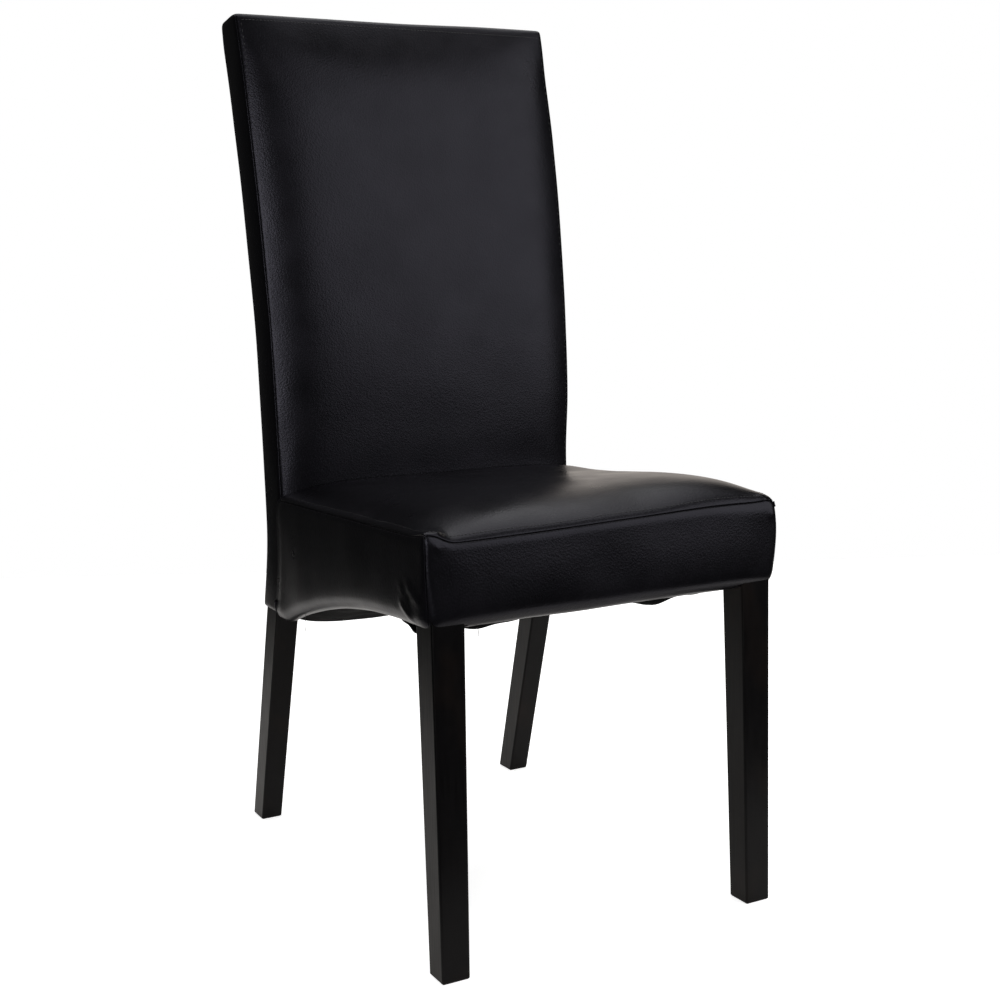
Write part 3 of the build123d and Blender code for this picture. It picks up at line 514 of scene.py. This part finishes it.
# %% Shape the back
BACK_BOX_LOW = (-208.0, 0.0, BACK_LOW)
BACK_BOX_HIGH = (208.0, BACK_DEPTH, CHAIR_TOP)
BACK_CROWN = 11.0


def back_widening(x, z):
    """How much wider than its pattern the back is, at a side. The right side is stuffed fuller."""
    fuller = 2.6 * fade(z, 470, 560) + 1.8 * fade(z, 960, 1035) if x > 0 else 0
    return -2.0 + 6.0 * min(max((z - 460) / 450, 0), 1) + 1.5 * (1 - fade(z, 330, 430)) + fuller


def back_point(start):
    """Place of a point of the back's box, in millimetres."""
    x, depth, z = start
    in_front = depth < 0.01
    behind = depth > BACK_DEPTH - 0.01
    packed = Vector((
        gather(x, BACK_BOX_LOW[0], BACK_BOX_HIGH[0], 1.6),
        gather(depth, 0, BACK_DEPTH, 1.3),
        gather(z, BACK_LOW, CHAIR_TOP, 1.5),
    ))
    radius = 5.0 + 6.0 * fade(z, 950, 1035) * fade(packed.y, 8, 45)
    x, depth, z = eased(packed, BACK_BOX_LOW, BACK_BOX_HIGH, radius)
    t = depth / BACK_DEPTH
    sideways = crown(208 - abs(x), 208, 8)
    upward_share = 1 - 0.7 * math.exp(-(CHAIR_TOP - z) / 30)
    if in_front:
        depth -= BACK_CROWN * sideways * upward_share
    elif behind:
        depth += 1.5 * sideways * crown(CHAIR_TOP - z, 360, 8)
    else:
        x += math.copysign(1.2 * 4 * t * (1 - t) * fade(abs(x), 200, 206), x)
        z += 1.5 * 4 * t * (1 - t) * fade(z, 1032, 1039) * sideways
    x *= 1 + back_widening(x, z) / 208
    y = back_line(depth, z)
    return Vector((x, y, z + (1.0 + 3.5 * fade(x, 0, 200)) * fade(z, 985, 1038)))


back = cover_box("back_bag", BACK_BOX_LOW, BACK_BOX_HIGH, (47, 9, 79))
for vertex in back.data.vertices:
    vertex.co = back_point(vertex.co / MM) * MM
print("back bag shaped, top at", round(max(v.co.z for v in back.data.vertices) / MM, 1), "mm")

# %% [markdown]
# Foam pushes a cover outwards between its seams. A cloth simulation with a little air pressure does
# the same: the seams are pinned, gravity is off, and each point may move only so far, which keeps
# the bag clear of its neighbours and its corners smooth. The result is applied, and no simulation is
# left on the piece.

# %% Let the foam swell the cover
SWELL_FRAMES = 20


def swell(piece, cap_at):
    """Blow a bag up a little between its seams. cap_at gives the furthest move in millimetres."""
    before = [vertex.co.copy() for vertex in piece.data.vertices]
    pins = piece.vertex_groups.new(name="pins")
    seam = piece.vertex_groups["seam"].index
    for vertex in piece.data.vertices:
        sewn = any(group.group == seam for group in vertex.groups)
        if sewn or cap_at(vertex.co / MM) <= 0:
            pins.add([vertex.index], 1.0, "REPLACE")
    pick(piece)
    cloth = piece.modifiers.new("swell", "CLOTH")
    cloth.settings.quality = 4
    cloth.settings.mass = 0.3
    cloth.settings.tension_stiffness = 18
    cloth.settings.compression_stiffness = 18
    cloth.settings.bending_stiffness = 2.0
    cloth.settings.use_pressure = True
    cloth.settings.uniform_pressure_force = 4
    cloth.settings.effector_weights.gravity = 0
    cloth.settings.vertex_group_mass = "pins"
    cloth.point_cache.frame_start = 1
    cloth.point_cache.frame_end = SWELL_FRAMES
    for step in range(1, SWELL_FRAMES + 1):
        bpy.context.scene.frame_set(step)
    bpy.ops.object.modifier_apply(modifier=cloth.name)
    bpy.context.scene.frame_set(1)
    furthest = 0
    for vertex, old in zip(piece.data.vertices, before):
        move = vertex.co - old
        cap = max(cap_at(old / MM), 0) * MM
        if move.length > 0:
            move *= cap * math.tanh(move.length / max(cap, 1e-9)) / move.length
        furthest = max(furthest, move.length / MM)
        vertex.co = old + move
    print(piece.name, "swelled by up to", round(furthest, 1), "mm")


def seat_cap(p):
    """Only the top swells, and not where the back stands."""
    return 4 * fade(p.z, 440, 455) * (1 - fade(p.y, 80, 112))


def back_cap(p):
    """The back swells above the seat, and less towards its two top corners."""
    from_corner = math.hypot(210 - abs(p.x), CHAIR_TOP - p.z)
    return 2 * fade(p.z, 470, 520) * fade(from_corner, 25, 130)


swell(seat, seat_cap)
swell(back, back_cap)

# %% [markdown]
# One subdivision gives the bag the smoothness of stretched fabric. Then the seams are drawn in: a
# row of points along each seam sinks, and the two panels roll over on either side of it.

# %% Smooth the bags and sink the seams
def move_out(piece, distances):
    """Move each point along its normal by its distance in millimetres. All normals are read first."""
    normals = [vertex.normal.copy() for vertex in piece.data.vertices]
    for vertex, normal, distance in zip(piece.data.vertices, normals, distances):
        vertex.co += normal * distance * MM
    piece.data.update()


def refine(piece, sink):
    """Subdivide once, then sink the seam rows by a depth in millimetres."""
    pick(piece)
    smoother = piece.modifiers.new("smooth", "SUBSURF")
    smoother.levels = smoother.render_levels = 1
    bpy.ops.object.modifier_apply(modifier=smoother.name)
    seam = piece.vertex_groups["seam"].index
    weights = [sum(g.weight for g in vertex.groups if g.group == seam) for vertex in piece.data.vertices]
    move_out(piece, [-sink * weight**2 for weight in weights])
    print(piece.name, len(piece.data.vertices), "points")


SEAM_DEPTH = 1.0
refine(seat, SEAM_DEPTH)
refine(back, SEAM_DEPTH)

# %% [markdown]
# Stretched fabric keeps the marks of the hands that pulled it. Where the cover was drawn under at
# the left front leg, folds run slantwise up the side panel, and at the front corners the spare cloth
# of three seams bunches up. A fold is a ridge or a groove along a short line. Its points are moved
# along their normals, most on the line and less away from it. A broad soft noise of about 1 mm goes
# over all of it, so that no panel is perfectly even.

# %% Pull folds and puckers
def fold_height(point, start, end, width, height):
    """Height at a point of a ridge along a line, or of a groove where height is negative."""
    start, line = Vector(start), Vector(end) - Vector(start)
    offset = point - start
    along = min(max(offset.dot(line) / line.length_squared, 0), 1)
    away = (offset - line * along).length
    ends = 1 - fade(abs(2 * along - 1), 0.4, 1) * 0.85
    return height * ends * math.exp(-((away / width) ** 2)) if away < 3 * width else 0


LEFT_FACE = -217.5
folds = (  # start, end, width, height
    ((LEFT_FACE, -238, 412), (LEFT_FACE, -268, 389), 3.2, 1.2),
    ((LEFT_FACE, -254, 416), (LEFT_FACE, -293, 394), 3.2, 1.3),
    ((LEFT_FACE, -240, 396), (LEFT_FACE, -276, 371), 3.6, 1.6),
    ((LEFT_FACE, -246, 406), (LEFT_FACE, -280, 384), 3.2, -0.6),
    ((-38, 108, 474), (-6, -12, 480), 5.0, 3.0),
    ((-26, 60, 476), (14, -20, 480), 9.0, -1.5),
    ((-108, 20, 483), (-150, 70, 478), 14.0, -1.5),
    ((-203, -297, 465), (-190, -288, 467), 2.8, 1.6),
    ((-211, -288, 464), (-197, -272, 467), 2.6, -1.2),
    ((-197, -302, 460), (-189, -303, 455), 2.4, 2.2),
    ((-189, -303, 455), (-181, -303, 458), 2.2, 1.8),
    ((-206, -302, 458), (-197, -303, 448), 3.4, 1.0),
    ((206, -298, 463), (196, -288, 468), 3.4, 1.8),
    ((211, -291, 462), (203, -276, 467), 3.0, -1.2),
    ((213, -299, 452), (206, -300, 444), 3.4, 1.2),
)
places = [vertex.co / MM for vertex in seat.data.vertices]
pressed_in = [sum(fold_height(place, *fold) for fold in folds) for place in places]
move_out(seat, [height + 0.9 * noise.noise(place / 70) for height, place in zip(pressed_in, places)])
move_out(back, [noise.noise(vertex.co / MM / 110) for vertex in back.data.vertices])
print(len(folds), "folds pressed")

# %% [markdown]
# A real panel is cut larger than it shows, and its spare edge is turned in behind the seam. The
# direction that each seam point turns in is kept here, while the bag is still whole.

# %% Remember where the seams turn in
def seam_directions(piece):
    """Normals of the bag's seam points, by place."""
    seam = piece.vertex_groups["seam"].index
    found = {}
    for vertex in piece.data.vertices:
        if any(group.group == seam and group.weight > 0.9 for group in vertex.groups):
            found[tuple(round(value * 1e5) for value in vertex.co)] = vertex.normal.copy()
    return found


turn_in = {**seam_directions(seat), **seam_directions(back)}
print(len(turn_in), "seam points")

# %% [markdown]
# Now the bags are taken apart along their seams, into the panels that an upholsterer would cut.
# The underside keeps only its hems: the strip of each panel that turns in below the rails. Next to
# the legs there is none, because the leg comes out there. What the seat hides of the back's front
# is cut off.

# %% Cut the bags into panels
HEM = 24
HEM_START, HEM_STOP, REAR_HEM = -258, 165, 192  # along y: behind the front leg, at the post, behind it
LEG_INSIDE, POST_INSIDE, POST_OUTSIDE = 170, 176, 184


def keep_hems(piece, panel_at):
    """Give each strip of the underside to the panel that it belongs to, and mark the rest."""
    for face in piece.data.polygons:
        if face.material_index == PANELS.index("under"):
            panel = panel_at(face.center.x / MM, face.center.y / MM)
            face.material_index = PANELS.index(panel) if panel else len(PANELS)


def seat_hem(x, y):
    """Panel that a point of the seat's underside belongs to."""
    from_side, from_front = seat_half(y) - abs(x), y - SEAT_FRONT
    if from_side < min(HEM, from_front) and HEM_START < y < HEM_STOP:
        return "left" if x < 0 else "right"
    return "front" if from_front < HEM and abs(x) < LEG_INSIDE else None


def back_hem(x, y):
    """Panel that a point of the back's lower end belongs to."""
    if abs(x) > POST_OUTSIDE and y < HEM_STOP:
        return "left" if x < 0 else "right"
    return "rear" if abs(x) < POST_INSIDE and y > REAR_HEM else None


def part_panels(piece, names):
    """Separate a bag by its marks, name the panels that are kept and delete the others."""
    pick(piece)
    bpy.ops.object.mode_set(mode="EDIT")
    bpy.ops.mesh.select_all(action="SELECT")
    bpy.ops.mesh.separate(type="MATERIAL")
    bpy.ops.object.mode_set(mode="OBJECT")
    made = {}
    for part in list(bpy.context.selected_objects):
        mark = part.data.materials[part.data.polygons[0].material_index].name
        name = names.get(mark)
        if name is None:
            bpy.data.objects.remove(part)
            continue
        part.name = part.data.name = name
        part.data.materials.clear()
        part.data.materials.append(cover_pu)
        for face in part.data.polygons:
            face.material_index = 0
            face.use_smooth = True
        made[name] = part
    print("panels:", ", ".join(sorted(made)))
    return made


def drop_faces(piece, test):
    """Delete the faces whose middle passes a test."""
    edit_where(piece, "FACE", lambda face: test(face.center / MM), bpy.ops.mesh.delete, type="FACE")


keep_hems(seat, seat_hem)
keep_hems(back, back_hem)
panels = part_panels(seat, {
    "top": "seat_top_pad", "front": "seat_front_panel", "left": "seat_side_panel_left",
    "right": "seat_side_panel_right",
})
panels.update(part_panels(back, {
    "front": "back_front_pad", "rear": "back_rear_panel", "left": "back_band_left",
    "right": "back_band_right", "top": "back_top_band_panel",
}))
drop_faces(panels["back_front_pad"], lambda p: p.z < 452)
for mark in marks:
    bpy.data.materials.remove(mark)

# %% [markdown]
# First every panel gets its spare edge. The seat's top and the back's front are pads: cover and
# foam in one closed piece, crowned outside and flat where they lie on the webbing or on the posts.
# Solidify gives each a second skin, and the points of that skin are then set down on what carries
# the pad. The other panels are plain fabric, 1.2 mm thick.

# %% Close the pads, thicken the panels
FABRIC, ALLOWANCE = 1.2, 2.5
SKIN_TO_SET_DOWN = 5


def add_allowance(panel, width):
    """Extrude the panel's sewn edges and turn them in behind the seam."""
    uses = {}
    for face in panel.data.polygons:
        for key in face.edge_keys:
            uses[key] = uses.get(key, 0) + 1
    sewn = {v.index for v in panel.data.vertices if tuple(round(c * 1e5) for c in v.co) in turn_in}
    edit_where(panel, "EDGE", lambda edge: uses.get(edge.key) == 1 and sewn.issuperset(edge.vertices),
               bpy.ops.mesh.extrude_edges_move)
    for vertex in panel.data.vertices:
        if vertex.select:
            vertex.co -= turn_in[tuple(round(c * 1e5) for c in vertex.co)] * width * MM


def thicken(piece, thickness, lay_down=None):
    """Give a panel an inner skin, then move that skin by lay_down."""
    count = len(piece.data.vertices)
    pick(piece)
    skin = piece.modifiers.new("skin", "SOLIDIFY")
    skin.thickness = thickness * MM
    skin.offset = -1
    bpy.ops.object.modifier_apply(modifier=skin.name)
    if lay_down is not None:
        for vertex in piece.data.vertices[count:]:
            vertex.co = lay_down(vertex.co / MM) * MM
    piece.data.update()


def onto_webbing(p):
    """Set a point of the seat pad's lower skin down on the straps."""
    half = seat_half(p.y) - 4
    return Vector((max(min(p.x, half), -half), min(max(p.y, SEAT_FRONT + 4), 116), 442.6))


def onto_posts(p):
    """Set a point of the back pad's rear skin down on the posts and the straps."""
    return Vector((max(min(p.x, 200), -200), back_line(13.8, min(p.z, 1035)), min(p.z, 1035)))


for panel in panels.values():
    add_allowance(panel, ALLOWANCE)
thicken(panels["seat_top_pad"], SKIN_TO_SET_DOWN, onto_webbing)
thicken(panels["back_front_pad"], SKIN_TO_SET_DOWN, onto_posts)
for name, panel in panels.items():
    if not name.endswith("_pad"):
        thicken(panel, FABRIC)
print("2 pads closed,", len(panels) - 2, "panels thickened")

# %% [markdown]
# The dust cover is a thin cloth stapled over the hems. It is cut to the frame, notched round the
# legs, and it sags between the rails like any cloth that is held only at its edges. It is made from
# a grid of points that are let down in code, with shallow folds between the staples. In a few places
# its edge has come off a staple and droops.

# %% Dust cover
CLOTH_HALF = 197.0
CLOTH_FRONT, CLOTH_REAR = -289.0, 207.0
CLOTH_BEHIND_FRONT_LEGS, CLOTH_BEFORE_REAR_POSTS = -257.0, 163.0
CLOTH_DROOPS = (  # x, y, half of the width, drop
    (-150, -281, 24, 8.0), (-110, -281, 20, 4.0), (-20, -281, 14, 3.0), (67, -279, 24, 9.0),
    (120, -281, 22, 4.0), (-197, -205, 13, 11.0), (-197, -233, 13, 17.0), (190, -230, 12, 8.0),
)


def cloth_point(p):
    """Place of a point of the dust cover, in millimetres."""
    x, y = p.x, p.y
    from_side = max(CLOTH_HALF - abs(x), 0)
    from_end = max(min(y - CLOTH_FRONT, CLOTH_REAR - y), 0)
    hang = (1 - math.exp(-from_side / 26)) * (1 - math.exp(-from_end / 30))
    slack = 0
    for near_x, near_y, reach, drop in CLOTH_DROOPS:
        slack += drop * math.exp(-(((x - near_x) / reach) ** 2) - ((y - near_y) / 16) ** 2)
    creases = noise.noise(Vector((x / 60, y / 38, 3.1))) * 4 * fade(min(from_side, from_end), 30, 80)
    puckers = 1.1 * math.sin(y / 62 * 2 * math.pi) * math.exp(-from_side / 16) if abs(x) > 150 else 0
    sag = (12 + 4 * fade(-y, -60, 120)) * hang + creases + slack + puckers
    return Vector((x, y, rim_at(y) - 1.0 - max(sag, 0)))


deselect()
bpy.ops.mesh.primitive_grid_add(
    x_subdivisions=80, y_subdivisions=96, size=1,
    location=(0, (CLOTH_FRONT + CLOTH_REAR) / 2 * MM, rim_at(0) * MM),
)
dust = bpy.context.object
dust.scale = (2 * CLOTH_HALF * MM, (CLOTH_REAR - CLOTH_FRONT) * MM, 1)
bpy.ops.object.transform_apply(location=True, rotation=True, scale=True)
dust.name = dust.data.name = "dust_cloth"
drop_faces(dust, lambda p: abs(p.x) > LEG_INSIDE - 1 and p.y < CLOTH_BEHIND_FRONT_LEGS)
drop_faces(dust, lambda p: abs(p.x) > POST_INSIDE and p.y > CLOTH_BEFORE_REAR_POSTS)
for vertex in dust.data.vertices:
    vertex.co = cloth_point(vertex.co / MM) * MM
pick(dust)
weave = dust.modifiers.new("thickness", "SOLIDIFY")
weave.thickness = 0.5 * MM
bpy.ops.object.modifier_apply(modifier=weave.name)
bpy.ops.object.shade_smooth()
dust.data.materials.append(spunbond)

# %% [markdown]
# Topstitching runs round the seat's top and round the back's front, about 7 mm inside the seams, in
# stitches 4 mm long. One stitch is a slim bead that dips at both ends. It is modelled once, and a
# copy goes to every place along the row, found by a ray that drops onto the pad.

# %% Topstitching
STITCH_PITCH = 4.4
STITCH_SIZE = (0.9, 0.7, 3.6)


def stitch_row(name, pad, path, toward):
    """Lay stitches along a path of points in millimetres, dropped onto a pad along a direction."""
    deselect()
    bpy.ops.mesh.primitive_uv_sphere_add(segments=6, ring_count=4, radius=0.5)
    bead = bpy.context.object
    bead.scale = [size * MM for size in STITCH_SIZE]
    bpy.ops.object.transform_apply(scale=True)
    shape = bead.data
    tree_of_pad = BVHTree.FromObject(pad, bpy.context.evaluated_depsgraph_get())
    mesh = bmesh.new()
    made = 0
    for start, end in zip(path, path[1:]):
        step = STITCH_PITCH / (end - start).length
        for number in range(int(1 / step)):
            middle = start.lerp(end, (number + 0.5) * step)
            ahead = start.lerp(end, min((number + 1.2) * step, 1))
            hit, normal, _, _ = tree_of_pad.ray_cast((middle - toward * 60) * MM, toward)
            hit_ahead, _, _, _ = tree_of_pad.ray_cast((ahead - toward * 60) * MM, toward)
            if hit is None or hit_ahead is None or (hit_ahead - hit).length > 3 * STITCH_PITCH * MM:
                continue
            along = (hit_ahead - hit).normalized()
            side = normal.cross(along).normalized()
            out = along.cross(side)
            copy = shape.copy()
            turned = Matrix((side, out, along)).transposed().to_4x4()
            copy.transform(Matrix.Translation(hit + out * 0.08 * MM) @ turned)
            mesh.from_mesh(copy)
            bpy.data.meshes.remove(copy)
            made += 1
    bpy.data.objects.remove(bead)
    row_mesh = bpy.data.meshes.new(name)
    mesh.to_mesh(row_mesh)
    mesh.free()
    row = bpy.data.objects.new(name, row_mesh)
    bpy.context.scene.collection.objects.link(row)
    row_mesh.materials.append(thread)
    for face in row_mesh.polygons:
        face.use_smooth = True
    print(name, made, "stitches")
    return row


SEAM_TO_STITCH = 7.5
stitch_front = SEAT_FRONT + SEAM_TO_STITCH
seat_path = [
    Vector((-seat_half(110) + SEAM_TO_STITCH, 112, 480)),
    Vector((-215 + SEAM_TO_STITCH, stitch_front, 480)),
    Vector((215 - SEAM_TO_STITCH, stitch_front, 480)),
    Vector((seat_half(110) - SEAM_TO_STITCH, 112, 480)),
]
seat_stitches = stitch_row("seat_topstitch", panels["seat_top_pad"], seat_path, Vector((0, 0, -1)))

BACK_HALF, BACK_SEAM_TO_STITCH = 208, 6.5
heights = range(465, 1034, 8)
back_path = [
    Vector((side * (BACK_HALF + back_widening(side, z) - BACK_SEAM_TO_STITCH), back_line(0, z), z))
    for side, column in ((-1, heights), (1, reversed(heights))) for z in column
]
back_stitches = stitch_row("back_topstitch", panels["back_front_pad"], back_path, Vector((0, 1, 0)))

# %% [markdown]
# Two ends of thread hang from the hems, where the seam was run off and snipped. Each is a curve of
# four points with a round bevel, turned into a mesh.

# %% Loose thread ends
THREAD_RADIUS = 0.28


def thread_end(name, points):
    """Thin curved thread through points in millimetres."""
    deselect()
    curve = bpy.data.curves.new(name, "CURVE")
    curve.dimensions = "3D"
    curve.bevel_depth = THREAD_RADIUS * MM
    curve.bevel_resolution = 2
    curve.resolution_u = 6
    curve.use_fill_caps = True
    spline = curve.splines.new("NURBS")
    spline.points.add(len(points) - 1)
    for knot, point in zip(spline.points, points):
        knot.co = (*(Vector(point) * MM), 1)
    spline.order_u = 3
    spline.use_endpoint_u = True
    end = bpy.data.objects.new(name, curve)
    bpy.context.scene.collection.objects.link(end)
    pick(end)
    bpy.ops.object.convert(target="MESH")
    end = bpy.context.object
    end.data.materials.clear()
    end.data.materials.append(thread)
    bpy.ops.object.shade_smooth()
    print(name, len(end.data.polygons), "faces")
    return end


thread_ends = [
    thread_end("thread_end_side", [(-206, 60, 322), (-208, 59, 313), (-209, 57, 307), (-208, 58, 301)]),
    thread_end("thread_end_front", [(-154, -284, 374), (-154, -287, 367), (-152, -288, 361),
                                    (-153, -289, 356)]),
]

# %% [markdown]
# Each new piece now moves with the chair's one body, and the solids of the model that it stands for are
# hidden.

# %% Ride and replace
stands_for = {
    "seat_top_pad": ("seat_top_cover", "seat_foam"),
    "seat_front_panel": ("seat_front_border", "seat_border_wadding"),
    "seat_side_panel_left": ("seat_side_border_left",),
    "seat_side_panel_right": ("seat_side_border_right",),
    "back_front_pad": ("back_front_cover", "back_foam"),
    "back_rear_panel": ("back_rear_cover", "back_rear_wadding"),
    "back_band_left": ("back_side_band_left", "back_side_wadding_left"),
    "back_band_right": ("back_side_band_right", "back_side_wadding_right"),
    "back_top_band_panel": ("back_top_band",),
}
for name, nodes in stands_for.items():
    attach(panels[name], "root")
    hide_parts(*nodes)
for row in [seat_stitches, back_stitches, *thread_ends]:
    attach(row, "root")
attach(dust, "root")
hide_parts("dust_cover")
print(len(panels), "panels, 2 rows of stitches,", len(thread_ends), "thread ends and the dust cover declared")

# %% [markdown]
# The chair stands on a plain pale floor. The camera sees the world as white, but its light is faint.
# A white backdrop stands behind the right half of the chair only, so the rear of the seat mirrors it
# and the left side stays dark. Both glow only in the camera and in mirrors, and in mirrors their
# white is a little warm.

# %% Stage
WARM_WHITE = "#fff5ec"
PALE_PAINT = "#f4f4f3"
FLOOR_GLOW, FLOOR_MIRRORED = 0.78, 0.33
FLOOR_NEAR, FLOOR_FAR = (0.62, -0.5), (1.32, 1.93)  # half of the width, distance along the view
WORLD_LIGHT = 0.03


def seen_white(tree):
    """Light Path outputs: 1 for the camera's rays, 1 for all that see the stage, and its white."""
    path = add_node(tree, "ShaderNodeLightPath")
    to_camera = seen = path.outputs["Is Camera Ray"]
    for ray in ("Is Glossy Ray", "Is Transmission Ray"):
        seen = add_node(tree, "ShaderNodeMath", {0: seen, 1: path.outputs[ray]},
                        operation="MAXIMUM").outputs["Value"]
    white = add_node(tree, "ShaderNodeMix", {"Factor": to_camera, "A": linear(WARM_WHITE),
                                             "B": linear("#ffffff")}, data_type="RGBA")
    return to_camera, seen, white.outputs["Result"]


deselect()
bpy.ops.mesh.primitive_plane_add(size=1, location=(0, 0, -0.0005))
floor = bpy.context.object
floor.name = "floor"
view_turn = Matrix.Rotation(VIEW_YAW, 4, "Z")
for corner in floor.data.vertices:
    half, distance = FLOOR_FAR if corner.co.y > 0 else FLOOR_NEAR
    corner.co = view_turn @ Vector((math.copysign(half, corner.co.x), distance, 0))
floor_paint, tree, shader = new_material("matt_white_floor", Base_Color=linear(PALE_PAINT), Roughness=0.9,
                                         Specular_IOR_Level=0.0)
to_camera, seen, white = seen_white(tree)
faint = add_node(tree, "ShaderNodeMapRange", {"Value": to_camera, "To Min": FLOOR_MIRRORED,
                                              "To Max": FLOOR_GLOW})
glow = add_node(tree, "ShaderNodeMath", {0: seen, 1: faint.outputs["Result"]}, operation="MULTIPLY")
feed(tree, shader, Emission_Color=white, Emission_Strength=glow.outputs["Value"])
floor.data.materials.append(floor_paint)

deselect()
bpy.ops.mesh.primitive_plane_add(size=1, location=(1.327, 1.467, 0.75),
                                 rotation=(math.radians(90), 0, VIEW_YAW))
backdrop = bpy.context.object
backdrop.name = "backdrop"
backdrop.scale = (1.66, 1.5, 1)
white_screen, tree, shader = new_material("white_backdrop", Base_Color=linear(PALE_PAINT), Roughness=0.9)
to_camera, seen, white = seen_white(tree)
glow = add_node(tree, "ShaderNodeEmission", {"Color": white, "Strength": 1.0})
blend = add_node(tree, "ShaderNodeMixShader", {"Fac": seen, 1: shader.outputs["BSDF"],
                                               2: glow.outputs["Emission"]})
tree.links.new(blend.outputs["Shader"], tree.nodes["Material Output"].inputs["Surface"])
backdrop.data.materials.append(white_screen)

world = bpy.data.worlds.new("studio")
bpy.context.scene.world = world
world.use_nodes = True
tree = world.node_tree
path = add_node(tree, "ShaderNodeLightPath")
sky = add_node(tree, "ShaderNodeMapRange", {"Value": path.outputs["Is Camera Ray"], "To Min": WORLD_LIGHT,
                                            "To Max": 1.0})
tree.links.new(sky.outputs["Result"], tree.nodes["Background"].inputs["Strength"])
tree.nodes["Background"].inputs["Color"].default_value = (1, 1, 1, 1)
print("floor, backdrop and world set")

# %% [markdown]
# Three broad soft lamps light the chair: one over it and behind, and two in front of it.

# %% Lamps
def soft_lamp(name, where, aim, width, height, power):
    """Area lamp that points at a place."""
    deselect()
    bpy.ops.object.light_add(type="AREA", location=where)
    lamp = bpy.context.object
    lamp.name = name
    lamp.data.shape = "RECTANGLE"
    lamp.data.size = width
    lamp.data.size_y = height
    lamp.data.energy = power
    lamp.rotation_euler = (Vector(aim) - Vector(where)).to_track_quat("-Z", "Y").to_euler()
    return lamp


soft_lamp("overhead", (0.4, 0.8, 3.0), (0.4, 0.6, 0), 3.2, 3.2, 60)
soft_lamp("front_right", (1.7, -2.2, 1.7), (0, 0, 0.8), 2.3, 2.75, 45)
soft_lamp("front_left", (-1.45, -2.4, 1.25), (0, 0, 0.8), 0.7, 2.3, 36)
print("3 lamps set")

# %% Update the scene
bpy.context.view_layer.update()
